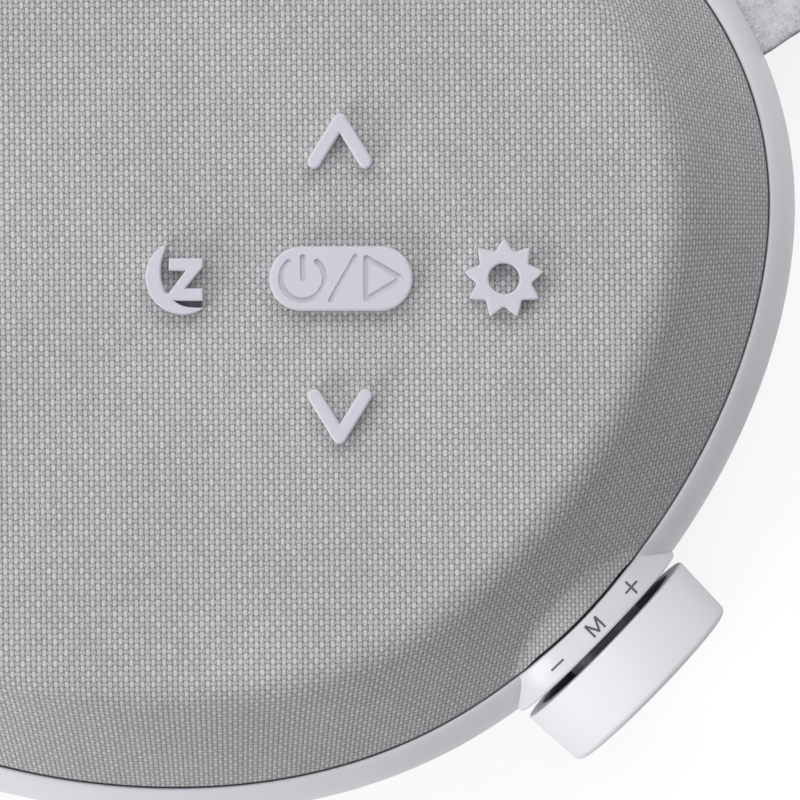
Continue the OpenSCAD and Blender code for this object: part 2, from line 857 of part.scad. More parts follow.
module speaker_dust_cap() color([0.16, 0.16, 0.17]) at_speaker() {
    low = rim_top - cone_deep;
    r = 9;
    drop = sqrt(r * r - pow(coil_r + coil_t, 2));
    translate([0, 0, low - drop]) difference() {
        sphere(r, $fn = 64);
        sphere(r - 0.5, $fn = 64);
        translate([0, 0, -r]) cylinder(r = r + 1, h = r + drop + 0.02);
    }
}

module speaker_surround() color([0.08, 0.08, 0.08]) at_speaker() {
    mid = (cone_out + mouth_r) / 2;
    roll = (mouth_r - cone_out) / 2 - 0.25;
    lip_r = mouth_r + 0.5;
    rotate_extrude() {
        difference() {
            translate([mid, rim_top]) circle(roll);
            translate([mid, rim_top]) circle(roll - 0.4);
            translate([mid - 4, rim_top]) square([8, 4]);
        }
        translate([mid + roll - 0.4, rim_top]) square([lip_r - mid - roll + 0.4, 0.3]);
        translate([cone_out - 1.2, rim_top]) square([mid - roll + 0.4 - cone_out + 1.2, 0.3]);
    }
}

// Inner radius of the basket's bowl at height z
function bowl(z) = bowl_r + (mouth_r - 0.3 - bowl_r) * (z - bowl_z - basket_t) / (rim_top - rim_t - bowl_z - basket_t);

module speaker_spider() color([0.75, 0.6, 0.3]) at_speaker() {
    z = spider_z;
    waves = 3;
    outer_r = bowl(z) - 0.1;
    step = (outer_r - 1 - coil_r) / waves;
    rotate_extrude() for (i = [0 : waves - 1]) {
        r0 = coil_r + 0.5 + i * step;
        translate([r0, z]) square([step / 2, 0.4]);
        translate([r0 + step / 2, z + 0.4]) square([step / 2, 0.4]);
        translate([r0 + step / 2 - 0.2, z]) square([0.4, 0.8]);
        translate([r0 - 0.2 + (i == 0 ? 0.2 : 0), z]) square([i == 0 ? 0.2 : 0.4, i == 0 ? 0.4 : 0.8]);
    }
    tube(outer_r, outer_r - 0.9, z, z + 0.8);
}

// ---- Dial and encoder --------------------------------------------------
module encoder_body() color([0.2, 0.35, 0.25]) at_dial() {
    back = dial_u - boss_plate - encoder_d;
    difference() {
        union() {
            translate([-encoder_w / 2, -encoder_w / 2, back]) cube([encoder_w, encoder_w, encoder_d]);
            rod(bush_r, dial_u - boss_plate - 0.1, dial_u + bush_len);
        }
        rod(shaft_r + FIT, back + 1.2, dial_u + bush_len + CUT);
    }
}

module encoder_washer() color("silver") at_dial() {
    tube(5.4, bush_r + 0.1, dial_u, dial_u + 0.4);
}

module encoder_nut() color([0.2, 0.2, 0.21]) at_dial() {
    difference() {
        translate([0, 0, dial_u + 0.4]) cylinder(d = nut_af / cos(30), h = 2, $fn = 6);
        rod(bush_r + FIT, dial_u, dial_u + 4);
    }
}

module encoder_plunger() color([0.1, 0.1, 0.1]) at_dial() {
    back = dial_u - boss_plate - encoder_d + 1.2;
    rod(shaft_r - 0.4, back + dial_press + 0.1, back + dial_press + 0.6);
}

module encoder_shaft() color("silver") at_dial() {
    start = dial_u - boss_plate - encoder_d + 1.2 + dial_press + 0.65;
    difference() {
        rod(shaft_r, start, dial_back + dial_len - 1.6);
        translate([shaft_r - 1.5, -5, dial_u + bush_len + 0.2]) cube([5, 10, dial_len + 5]);
    }
}

module dial_hub() color([0.2, 0.2, 0.21]) at_dial() {
    low = dial_u + bush_len + dial_press + 0.3;
    difference() {
        rod(hub_r, low, dial_back + dial_len - 1.1);
        difference() {
            rod(shaft_r + FIT, low - CUT, dial_back + dial_len - 1.5);
            translate([shaft_r - 1.5 + FIT, -5, low - 2]) cube([5, 10, dial_len + 6]);
        }
    }
}

module dial_cap() color([0.87, 0.87, 0.89]) at_dial() {
    crown_h = 0.4;
    round_r = 0.8;
    cave = 4.3;
    inner_r = dial_r - 2.3;
    front = dial_len;
    translate([0, 0, dial_back]) difference() {
        rotate_extrude($fn = 96) polygon(concat(
            [[0, 0.01], [dial_r - 0.25, 0.01], [dial_r, 0.25]],
            [
                for (i = [0 : ARC])
                    let (a = 90 * i / ARC)
                        [dial_front_r - round_r * (1 - cos(a)), front - round_r * (1 - sin(a))]
            ],
            [
                for (i = [1 : 8])
                    let (r = (dial_front_r - round_r) * (1 - i / 8))
                        [r, front + crown_h * (1 - pow(r / (dial_front_r - round_r), 2))]
            ]
        ));
        rod(inner_r, -CUT, cave);
        rod(hub_r + FIT, 0, front - 1.05);
    }
}

// ---- Strap -------------------------------------------------------------
function ease(x) = x <= 0 ? 0 : x >= 1 ? 1 : x * x * (3 - 2 * x);

function lower_z(x) = let (f = ease((x - strap_u - 2) / 26))
    (strap_z - bend_r) * (1 - f) + (lay_z + strap_t / 2) * f;

function upper_z(x) = let (f = ease((x - strap_u - 2) / 30))
    (strap_z + bend_r) * (1 - f) + (lay_z + strap_t / 2 + 2 * fold_r) * f;

// Centre line of the strap's loop, taken round the bar and back
function strap_line() = let (n = 16, far = bar_u + strap_len, fold_z = lay_z + strap_t / 2 + fold_r)
    concat(
        [for (i = [0 : 6]) let (a = 270 - 180 * i / 6) [bar_u + bend_r * cos(a), strap_z + bend_r * sin(a)]],
        [for (i = [1 : n]) let (x = bar_u + strap_len * i / n) [x, upper_z(x)]],
        [for (i = [1 : 7]) let (a = 90 - 180 * i / 8) [far + fold_r * cos(a), fold_z + fold_r * sin(a)]],
        [for (i = [n : -1 : 1]) let (x = bar_u + strap_len * i / n) [x, lower_z(x)]]
    );

function beside(line, d) = [
    for (i = [0 : len(line) - 1])
        let (
            n = len(line),
            run = line[(i + 1) % n] - line[(i + n - 1) % n],
            unit = run / norm(run)
        )
            line[i] + d * [-unit[1], unit[0]]
];

module felt_strap() color([0.71, 0.71, 0.72]) {
    at_strap() translate([0, strap_w / 2, 0]) rotate([90, 0, 0]) linear_extrude(strap_w) difference() {
        polygon(beside(strap_line(), strap_t / 2));
        polygon(beside(strap_line(), -strap_t / 2));
    }
}

module strap_bar() color("silver") {
    at_strap() translate([bar_u, 0, strap_z]) rotate([90, 0, 0])
        rod(bar_r, -pocket_w / 2 - 1.5, pocket_w / 2 + 1.5);
}

main_housing();
base_plate();
base_pad();
case_screws();
grille_frame();
fabric_cover();
frame_gasket();
key_up();
key_down();
key_play();
key_sleep();
key_light();
sleep_key_patch();
light_key_patch();
plunger_up();
plunger_down();
plunger_play();
plunger_sleep();
plunger_light();
key_switches();
key_board();
key_board_screws();
main_board();
main_board_screws();
sound_chip();
board_capacitors();
night_light_leds();
usb_socket();
battery();
battery_foam();
speaker_basket();
speaker_gasket();
speaker_screws();
speaker_yoke();
speaker_magnet();
speaker_top_plate();
speaker_cone();
speaker_dust_cap();
speaker_coil();
speaker_surround();
speaker_spider();
encoder_body();
encoder_washer();
encoder_nut();
encoder_plunger();
encoder_shaft();
dial_hub();
dial_cap();
strap_bar();
felt_strap();
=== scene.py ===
import json
import math

import bpy
import numpy as np
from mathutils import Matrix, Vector
from mathutils.geometry import delaunay_2d_cdt, tessellate_polygon


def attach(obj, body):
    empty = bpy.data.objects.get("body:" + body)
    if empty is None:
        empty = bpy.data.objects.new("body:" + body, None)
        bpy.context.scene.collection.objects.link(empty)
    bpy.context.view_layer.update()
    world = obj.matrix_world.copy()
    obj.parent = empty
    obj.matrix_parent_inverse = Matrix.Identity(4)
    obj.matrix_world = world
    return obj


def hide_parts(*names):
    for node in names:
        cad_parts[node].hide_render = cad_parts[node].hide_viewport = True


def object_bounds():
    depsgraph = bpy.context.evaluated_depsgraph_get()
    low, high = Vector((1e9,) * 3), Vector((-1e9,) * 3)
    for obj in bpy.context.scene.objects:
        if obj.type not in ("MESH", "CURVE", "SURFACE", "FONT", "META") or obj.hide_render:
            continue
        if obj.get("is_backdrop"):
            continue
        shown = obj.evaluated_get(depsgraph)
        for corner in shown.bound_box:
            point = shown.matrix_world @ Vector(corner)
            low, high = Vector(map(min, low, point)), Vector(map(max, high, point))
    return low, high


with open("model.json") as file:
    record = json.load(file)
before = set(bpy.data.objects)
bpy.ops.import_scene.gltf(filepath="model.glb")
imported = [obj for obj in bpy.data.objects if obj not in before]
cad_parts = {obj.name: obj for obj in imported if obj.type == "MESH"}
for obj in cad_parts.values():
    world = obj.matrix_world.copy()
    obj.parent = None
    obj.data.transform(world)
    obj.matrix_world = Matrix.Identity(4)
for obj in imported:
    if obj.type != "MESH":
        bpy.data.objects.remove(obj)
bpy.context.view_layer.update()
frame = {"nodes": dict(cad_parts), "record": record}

# Sizes are in millimetres and mostly the CAD's own. piece() scales the points to metres.
MM = 0.001

# The housing's outline, and where its heights and edges lie
MEAN_R, OVAL, FULLNESS, END_EASE = 57.9, 5.17, 0.77, 0.22
LONG_AXIS = math.radians(24)
RIM_Z, BASE_Z, TOP_Z = 22.4, 1.5, 36.4
WALL_OUT, FOOT_IN, WALL = 3.6, 2.5, 2.2
RIM_IN = 0.17
LEDGE_Z, LEDGE_FOOT_Z, LEDGE_IN = 20.8, 19.2, 3.4
PLATE_TOP, PLATE_IN, PLATE_GAP, FLANGE_IN, FLANGE_TOP = 3.4, 3.5, 0.2, 6.5, 5.0

# The fabric: its shoulder, its foot on the grille frame and the pitch of its weave
SLOPE_RUN, SLOPE_RISE, EDGE_R = 10.5, 1.3467, 5.0
RIM_GAP, FABRIC_OUT, FABRIC_T, FRAME_Z = 0.2, 0.0, 0.6, 21.4
PITCH = 0.582

# The dial's axis lies level. u runs along it away from the middle, v beside it
DIAL_Z, DIAL_SIDE, DIAL_DEGREES = 14.5, 3.05, -44.2
DIAL_TURN = math.radians(DIAL_DEGREES)
DX, DY = math.cos(DIAL_TURN), math.sin(DIAL_TURN)
TX, TY = -DY, DX
BOSS_R, BOSS_U, DIAL_BACK = 12.3, 57.1, 58.1
DIAL_R, DIAL_FRONT_R, DIAL_LEN = 12.1, 11.8, 7.45

# The middle of each key's sign, and the height of the keys' tops
KEYS = {
    "up": (14.51, 16.06), "down": (14.51, -13.34), "play": (14.64, 1.36),
    "sleep": (-2.76, 1.36), "light": (32.04, 1.36),
}
KEY_TOP = 37.9


# ---- Outline ----
def reach(a):
    """Distance from the middle to the outline's tangent that faces the angle a."""
    t = a - LONG_AXIS
    return MEAN_R + OVAL * np.cos(2 * t) + FULLNESS * np.cos(4 * t) - END_EASE * np.cos(6 * t)


def side_shift(a):
    """Where on that tangent the outline touches it."""
    t = a - LONG_AXIS
    return -2 * OVAL * np.sin(2 * t) - 4 * FULLNESS * np.sin(4 * t) + 6 * END_EASE * np.sin(6 * t)


def edge(a, off):
    """Points of the outline moved outward by off, for the angles a of its normals."""
    s, d = reach(a) + off, side_shift(a)
    return s * np.cos(a) - d * np.sin(a), s * np.sin(a) + d * np.cos(a)


def smax(a, b, k):
    """The larger of two heights, with a round fillet about k wide where they meet."""
    h = np.clip(0.5 + 0.5 * (a - b) / k, 0, 1)
    return b + (a - b) * h + k * h * (1 - h)


def smooth(lo, hi, x):
    """0 below lo, 1 above hi and a soft step between them."""
    t = np.clip((x - lo) / (hi - lo), 0, 1)
    return t * t * (3 - 2 * t)


def to_dial(x, y):
    """Plan point to the distance along the dial's axis and the distance beside it."""
    return x * DX + y * DY, x * TX + y * TY - DIAL_SIDE


def from_dial(u, v, w):
    """Points at u along the dial's axis, v beside it and w above it."""
    u, v, w = np.broadcast_arrays(u, v, w)
    return np.stack([u * DX + (v + DIAL_SIDE) * TX, u * DY + (v + DIAL_SIDE) * TY, DIAL_Z + w], -1)


def angles(fine_at, coarse, fine, span):
    """Angles all round, closer together within span of fine_at: from degrees to radians."""
    out, a = [], 0.0
    while a < 360 - 1e-9:
        out.append(a)
        near = abs((a - fine_at + 180) % 360 - 180)
        a += fine if near < span else coarse
    return np.radians(np.array(out))


# ---- Mesh helpers ----
def piece(name, verts, faces, body, slot, replaces=(), material=None, sharp=35, weave=None, patch_weave=None):
    """An object from points in millimetres. Edges over sharp degrees stay crisp, and with 0 none does."""
    mesh = bpy.data.meshes.new(name)
    mesh.from_pydata((np.asarray(verts, float) * MM).tolist(), [], [tuple(map(int, f)) for f in faces])
    mesh.validate()
    mesh.update()
    mesh.shade_smooth()
    if sharp:
        mesh.set_sharp_from_angle(angle=math.radians(sharp))
    if weave is not None:
        # places in the weave's own pattern; a second layout holds where all of a face's points have one
        data = mesh.attributes.new("weave", "FLOAT_VECTOR", "CORNER")
        corner = np.empty(len(mesh.loops), np.int32)
        mesh.loops.foreach_get("vertex_index", corner)
        flat = np.zeros((len(corner), 3), np.float32)
        flat[:, :2] = weave[corner]
        if patch_weave is not None:
            sizes = np.array([len(f.vertices) for f in mesh.polygons])
            first = np.concatenate([[0], np.cumsum(sizes)[:-1]])
            inside = ~np.isnan(patch_weave[:, 0])[corner]
            whole = np.repeat(np.logical_and.reduceat(inside, first), sizes)
            flat[whole, :2] = patch_weave[corner[whole]]
        data.data.foreach_set("vector", flat.ravel())
    obj = bpy.data.objects.new(name, mesh)
    bpy.context.scene.collection.objects.link(obj)
    if body:
        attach(obj, body)
    if replaces:
        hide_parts(*replaces)
    if material:
        mesh.materials.append(material)
    return obj


def grid_faces(rows, cols, close_rows=False, flip=False):
    """Quads over rows x cols points, the columns running all the way round."""
    faces = []
    for r in range(rows if close_rows else rows - 1):
        a, b = r * cols, (r + 1) % rows * cols
        for c in range(cols):
            d = (c + 1) % cols
            q = (a + c, a + d, b + d, b + c)
            faces.append(q[::-1] if flip else q)
    return faces


def tube_mesh(rings):
    """Stacked closed rings of equal point counts, capped at both ends."""
    n = len(rings[0])
    verts = np.concatenate(rings)
    caps = [tuple(range(n))[::-1], tuple(range(len(verts) - n, len(verts)))]
    return verts, grid_faces(len(rings), n) + caps


def revolve(profile, n, place):
    """Profile of (radius, along) points turned round the local axis and placed."""
    turn = np.linspace(0, 2 * math.pi, n, endpoint=False)
    rings = [place(r * np.cos(turn), r * np.sin(turn), h) for r, h in profile]
    return tube_mesh(rings)


def signed_area(loop):
    """Area of a loop, below 0 where it runs clockwise."""
    x, y = loop[:, 0], loop[:, 1]
    return 0.5 * float(np.sum(x * np.roll(y, -1) - np.roll(x, -1) * y))


def room(loop, normal):
    """How far a loop can move at each point before it meets its own other side."""
    # points nearer than this along the loop are neighbours, and share the room of those this near
    neighbours, sharing, unbounded = 0.35, 0.5, 9
    step = np.linalg.norm(np.roll(loop, -1, 0) - loop, axis=1)
    run = np.concatenate([[0], np.cumsum(step)])
    apart = np.abs(run[:-1, None] - run[None, :-1])
    apart = np.minimum(apart, run[-1] - apart)
    gap = loop[None] - loop[:, None]
    along = (gap * normal[:, None]).sum(2)
    far = (along > 1e-4) & (apart > neighbours)
    free = np.where(far, (gap**2).sum(2) / np.maximum(2 * along, 1e-4), np.inf).min(1)
    return (free[None] + apart * (apart < sharing) + unbounded * (apart >= sharing)).min(1)


def dense(loop, step=0.25):
    """The same loop with its points at most a step apart."""
    out = []
    for p, q in zip(loop, np.roll(loop, -1, 0)):
        n = max(1, math.ceil(float(np.linalg.norm(q - p)) / step))
        out.append(p + (q - p) * np.arange(n)[:, None] / n)
    return np.concatenate(out)


def left_of(steps):
    """Unit vectors a quarter turn to the left of some steps."""
    return np.stack([-steps[:, 1], steps[:, 0]], 1) / np.maximum(np.linalg.norm(steps, axis=1), 1e-9)[:, None]


def inward(loop, d, tight=False):
    """Moves a loop to its left by d, into its material. A tight one stops before it meets itself."""
    sharpest_mitre, room_share = 0.35, 0.7
    mid = left_of(loop - np.roll(loop, 1, 0)) + left_of(np.roll(loop, -1, 0) - loop)
    length = np.maximum(np.linalg.norm(mid, axis=1), 1e-6)
    mid /= length[:, None]
    far = d / np.maximum(length / 2, sharpest_mitre)
    if tight:
        far = np.minimum(far, room_share * room(loop, mid))
    return loop + mid * far[:, None]


def cap(loops, z, up=True):
    """Flat face with holes over loops at height z."""
    points = np.concatenate([np.column_stack([q, np.full(len(q), z)]) for q in loops])
    tris = tessellate_polygon([[Vector((x, y, 0)) for x, y in q] for q in loops])
    faces = []
    for t in tris:
        a, b, c = (points[i] for i in t)
        ccw = (b[0] - a[0]) * (c[1] - a[1]) - (b[1] - a[1]) * (c[0] - a[0]) > 0
        faces.append(t if ccw == up else t[::-1])
    return points, faces


class Build:
    """Collects vertices and faces of one piece."""

    def __init__(self):
        self.verts, self.faces, self.count = [], [], 0

    def add(self, verts, faces):
        """Takes in a part whose faces count from its own first vertex."""
        self.verts.append(np.asarray(verts, float))
        self.faces += [tuple(i + self.count for i in f) for f in faces]
        self.count += len(verts)

    def wall(self, loop, levels, tight=False):
        """A wall round a loop, given as [inward distance, height] from the bottom up."""
        rings = [np.column_stack([inward(loop, d, tight), np.full(len(loop), z)]) for d, z in levels]
        self.add(np.concatenate(rings), grid_faces(len(rings), len(loop)))

    def all(self):
        """Everything taken in, as one mesh's vertices and faces."""
        return np.concatenate(self.verts), self.faces


def arc_points(cx, cy, r, a0, a1, n):
    """n points of an arc from the angle a0 to a1, in degrees."""
    t = np.radians(np.linspace(a0, a1, n))
    return np.column_stack([cx + r * np.cos(t), cy + r * np.sin(t)])


def stroke(points, width, n=10):
    """Round-ended outline of a line of the given width, counter-clockwise."""
    p, h = np.asarray(points, float), width / 2
    d = np.gradient(p, axis=0)
    a = np.degrees(np.arctan2(d[:, 1], d[:, 0]))
    normal = np.column_stack([-np.sin(np.radians(a)), np.cos(np.radians(a))])
    end = arc_points(*p[-1], h, a[-1] - 90, a[-1] + 90, n)
    begin = arc_points(*p[0], h, a[0] + 90, a[0] + 270, n)
    return np.concatenate([(p - normal * h)[1:-1], end, (p + normal * h)[1:-1][::-1], begin])


def stadium(w, d, n=24):
    """A slot w long and d wide with round ends."""
    x, r = (w - d) / 2, d / 2
    return np.concatenate([arc_points(x, 0, r, -90, 90, n), arc_points(-x, 0, r, 90, 270, n)])


def union(polygons):
    """Boundary loops of the union of some polygons, with the material on the left."""
    verts, faces = [], []
    for q in polygons:
        faces.append(list(range(len(verts), len(verts) + len(q))))
        verts += [Vector((x, y)) for x, y in q]
    v, _, f, *_ = delaunay_2d_cdt(verts, [], faces, 1, 1e-5)
    edges = {}
    for tri in f:
        for i in range(len(tri)):
            e = (tri[i], tri[(i + 1) % len(tri)])
            if e[::-1] in edges:
                del edges[e[::-1]]
            else:
                edges[e] = True
    follow = {}
    for a, b in edges:
        follow.setdefault(a, []).append(b)
    loops = []
    while follow:
        start = next(iter(follow))
        loop, at = [], start
        while True:
            loop.append(at)
            nxt = follow[at].pop()
            if not follow[at]:
                del follow[at]
            at = nxt
            if at == start:
                break
        q = np.array([[v[i].x, v[i].y] for i in loop])
        keep = np.linalg.norm(q - np.roll(q, 1, 0), axis=1) > 1e-4
        if abs(signed_area(q)) > 0.02:
            loops.append(q[keep])
    return loops


# ---- Materials ----
# every material by the name asked for; the CAD's placeholders hold the same names in Blender
MADE = {}


class Nodes:
    """Short-hand for building a material's node tree."""

    INPUTS = {
        "color": "Base Color", "rough": "Roughness", "metal": "Metallic", "normal": "Normal",
        "specular": "Specular IOR Level", "sheen": "Sheen Weight", "sheen_rough": "Sheen Roughness",
    }

    def __init__(self, name):
        self.material = bpy.data.materials.new(name)
        MADE[name] = self.material
        self.material.use_nodes = True
        self.tree = self.material.node_tree
        self.shader = self.tree.nodes["Principled BSDF"]

    def new(self, kind, values=(), **settings):
        """A node with its settings, and numbers or links on its inputs."""
        node = self.tree.nodes.new("ShaderNode" + kind)
        for k, v in settings.items():
            setattr(node, k, v)
        for key, value in dict(values).items():
            self.put(node.inputs[key], value)
        return node

    def put(self, socket, value):
        """Links another node's output to an input, or sets its value."""
        if isinstance(value, bpy.types.NodeSocket):
            self.tree.links.new(value, socket)
        elif value is not None:
            socket.default_value = value

    def math(self, op, a, b=None, c=None):
        node = self.new("Math", operation=op)
        for i, value in enumerate((a, b, c)):
            self.put(node.inputs[i], value)
        return node.outputs[0]

    def mix(self, factor, a, b):
        node = self.new("Mix", {0: factor}, data_type="RGBA")
        for i, value in ((6, a), (7, b)):
            self.put(node.inputs[i], value if isinstance(value, bpy.types.NodeSocket) else (*value, 1))
        return node.outputs[2]

    def remap(self, value, lo, hi, to_lo=0.0, to_hi=1.0):
        """Takes lo and hi to two other values, with a soft step between them."""
        node = self.new("MapRange", interpolation_type="SMOOTHSTEP")
        for i, x in enumerate((value, lo, hi, to_lo, to_hi)):
            self.put(node.inputs[i], x)
        return node.outputs[0]

    def spread(self, noise, lo, hi):
        """The usual range of a noise taken to lo and hi."""
        return self.remap(noise, 0.3, 0.7, lo, hi)

    def noise(self, where, scale, detail=3.0, rough=0.5, distort=0.0):
        values = {"Vector": where, "Scale": scale, "Detail": detail, "Roughness": rough}
        return self.new("TexNoise", {**values, "Distortion": distort}).outputs[0]

    def place(self):
        """Places in the object, in metres."""
        return self.new("TexCoord").outputs["Object"]

    def bump(self, height, depth, strength):
        """Normals from a height, whose full range is depth in millimetres."""
        return self.new("Bump", {"Height": height, "Distance": depth * MM, "Strength": strength}).outputs[0]

    def set(self, **values):
        """Puts values on the shader's inputs and returns the material."""
        for k, v in values.items():
            self.put(self.shader.inputs[self.INPUTS[k]], v)
        return self.material


def shade(color, by):
    """A colour made darker or lighter."""
    return tuple(min(1, c * by) for c in color)


def moulded(name, color, rough=0.4, grain=0.012, scale=2500, tint=0.02, specular=0.5):
    """Moulded plastic with a fine satin grain, faint flow and handling marks."""
    n = Nodes(name)
    at = n.place()
    fine = n.noise(at, scale, 2)
    broad = n.noise(at, 45, 2)
    return n.set(
        color=n.mix(broad, shade(color, 1 - tint), shade(color, 1 + tint)),
        rough=n.spread(n.noise(at, 160, 4), rough - 0.04, rough + 0.05),
        normal=n.bump(fine, grain, 0.6),
        specular=specular,
    )


def metal(name, color, rough=0.3, scale=(4000, 4000, 200), metallic=1.0):
    """Drawn or turned metal, its noise stretched into fine lines."""
    n = Nodes(name)
    at = n.place()
    stretched = n.new("Mapping", {"Vector": at, "Scale": scale}).outputs[0]
    lines = n.noise(stretched, 1, 3)
    return n.set(
        color=n.mix(lines, shade(color, 0.85), color),
        rough=n.spread(lines, rough - 0.08, rough + 0.1),
        normal=n.bump(lines, 0.01, 0.4),
        metal=metallic,
    )


def woven(name):
    """Plain weave of bright upright threads and greyer cross threads, with painted shade in their dips, along
    their edges and in the gaps between them.
    """
    up_half, across_half = 0.32, 0.315
    # the tones' low ends are painted shade in a thread's dips, and the gap's tone is painted shade between
    # the threads
    up_tones, across_tones, gap_shade_tone = (0.255, 0.553), (0.235, 0.437), 0.205
    n = Nodes(name)
    at = n.new("Attribute", attribute_name="weave").outputs["Vector"]
    wobble = n.new("TexNoise", {"Vector": at, "Scale": 0.35, "Detail": 2.0}).outputs["Color"]
    moved = n.new("VectorMath", operation="MULTIPLY_ADD")
    for i, value in enumerate((wobble, (0.16, 0.16, 0), at)):
        n.put(moved.inputs[i], value)
    axes = n.new("SeparateXYZ", {0: moved.outputs[0]})
    u, v = axes.outputs[0], axes.outputs[1]
    iu, iv = n.math("ROUND", u), n.math("ROUND", v)
    du, dv = n.math("SUBTRACT", u, iu), n.math("SUBTRACT", v, iv)
    cell = n.new("CombineXYZ", {0: iu, 1: iv}).outputs[0]
    random = n.new("TexWhiteNoise", {"Vector": cell}, noise_dimensions="2D").outputs["Color"]
    chance = n.new("SeparateColor", {0: random})
    # thread heights: each rises over one crossing and dips under the next
    wave_up = n.math("COSINE", n.math("MULTIPLY", n.math("ADD", v, iu), math.pi))
    wave_other = n.math("COSINE", n.math("MULTIPLY", n.math("ADD", u, iv), math.pi))
    wave_across = n.math("MULTIPLY", wave_other, -1.0)

    def thread(offset, wave, width, swell):
        """Where a thread is, its height with -1 beside it, and its round section."""
        half = n.math("MULTIPLY_ADD", wave, swell, width)
        share = n.math("DIVIDE", offset, half)
        inside = n.math("SUBTRACT", 1.0, n.math("MULTIPLY", share, share))
        dome = n.math("SQRT", n.math("MAXIMUM", inside, 0.0))
        high = n.math("MULTIPLY_ADD", dome, 0.55, n.math("MULTIPLY", wave, 0.5))
        there = n.math("GREATER_THAN", inside, 0.0)
        return there, n.math("MULTIPLY_ADD", n.math("ADD", high, 1.0), there, -1.0), dome

    def pick(chosen, a, b):
        """a where chosen is 0 and b where it is 1."""
        return n.new("Mix", {0: chosen, 2: a, 3: b}, data_type="FLOAT").outputs[0]

    up_there, up_height, up_dome = thread(du, wave_up, up_half, 0.03)
    across_there, across_height, across_dome = thread(dv, wave_across, across_half, 0.02)
    height = n.math("MAXIMUM", up_height, across_height)
    up_wins = n.math("GREATER_THAN", up_height, across_height)
    # painted shade: the edges and dips of a thread are painted darker and its crown brighter, as light falls
    # on a round thread
    up_tone = n.math("MULTIPLY", n.remap(wave_up, -0.6, 0.2, *up_tones), n.remap(up_dome, 0.1, 0.6, 0.6, 1.0))
    across_edge_shade = n.remap(across_dome, 0.1, 0.6, 0.55, 1.0)
    across_tone = n.math("MULTIPLY", n.remap(wave_across, -0.5, 0.3, *across_tones), across_edge_shade)
    tone = pick(up_wins, across_tone, up_tone)
    # painted shade where no thread lies, in the gaps between them
    tone = pick(n.math("MAXIMUM", up_there, across_there), gap_shade_tone, tone)
    # each crossing differs a little, and so do wide and narrow bands of the cloth
    tone = n.math("MULTIPLY", tone, n.math("MULTIPLY_ADD", chance.outputs[0], 0.14, 0.93))
    for scale, change in [(0.03, 0.04), (3.2, 0.10)]:
        tone = n.math("MULTIPLY", tone, n.spread(n.noise(at, scale, 2), 1 - change, 1 + change))
    hue = n.remap(n.noise(at, 0.06, 3), 0.42, 0.68)
    tint = n.mix(hue, (1.0, 1.0, 1.0), (1.0, 0.998, 0.97))
    color = n.new("VectorMath", {0: tint, 3: tone}, operation="SCALE").outputs[0]
    return n.set(color=color, rough=0.85, normal=n.bump(height, 0.1, 0.4), specular=0.25,
                 sheen=0.08, sheen_rough=0.5)


def felt(name):
    """Pressed grey melange felt with loose curly fibres."""
    n = Nodes(name)
    at = n.place()
    elsewhere = n.new("Mapping", {"Vector": at, "Location": (0.3, 0.1, 0)}).outputs[0]
    cloud = n.noise(at, 420, 4, 0.6)
    fleck = n.noise(at, 2600, 4, 0.65, 1.2)

    def fibres(where, scale, curl, width):
        """1 along the thin curly lines where a noise passes its middle value."""
        ridge = n.math("ABSOLUTE", n.math("SUBTRACT", n.noise(where, scale, 3, 0.45, curl), 0.5))
        return n.remap(ridge, 0.0, width, 1.0, 0.0)

    dark_hair = fibres(at, 620, 2.6, 0.012)
    light_hair = fibres(elsewhere, 760, 2.4, 0.014)
    base = n.mix(n.remap(cloud, 0.32, 0.68), (0.42, 0.42, 0.445), (0.63, 0.63, 0.66))
    base = n.mix(n.remap(fleck, 0.35, 0.7), base, (0.78, 0.78, 0.81))
    base = n.mix(n.math("MULTIPLY", dark_hair, 0.55), base, (0.30, 0.30, 0.32))
    base = n.mix(n.math("MULTIPLY", light_hair, 0.5), base, (0.90, 0.90, 0.93))
    height = n.math("ADD", fleck, n.math("MULTIPLY", light_hair, 0.4))
    return n.set(color=base, rough=0.95, normal=n.bump(height, 0.12, 0.7), specular=0.15,
                 sheen=0.25, sheen_rough=0.6)


def rubber(name, color, scale=900, rough=0.7):
    """Rubber, foam, paper and the like: matt, with a coarse grain."""
    n = Nodes(name)
    at = n.place()
    grain = n.noise(at, scale, 4, 0.6)
    return n.set(
        color=n.mix(n.noise(at, 60, 3), shade(color, 0.8), shade(color, 1.25)),
        rough=n.spread(grain, rough - 0.08, rough + 0.1),
        normal=n.bump(grain, 0.05, 0.5),
    )


def board(name):
    """Green solder mask over copper tracks."""
    n = Nodes(name)
    at = n.place()
    bricks = n.new("TexBrick", {"Vector": at, "Scale": 420.0, "Mortar Size": 0.03})
    tracks = bricks.outputs["Fac"]
    return n.set(
        color=n.mix(tracks, (0.01, 0.085, 0.04), (0.03, 0.19, 0.09)),
        rough=n.spread(n.noise(at, 500, 2), 0.3, 0.42),
        normal=n.bump(tracks, 0.03, 0.5),
    )


# All are named after the part's material slots, but for cave_painted_shade, dial_white and print_ink
white = moulded("white_shell", (0.755, 0.75, 0.795), 0.36)
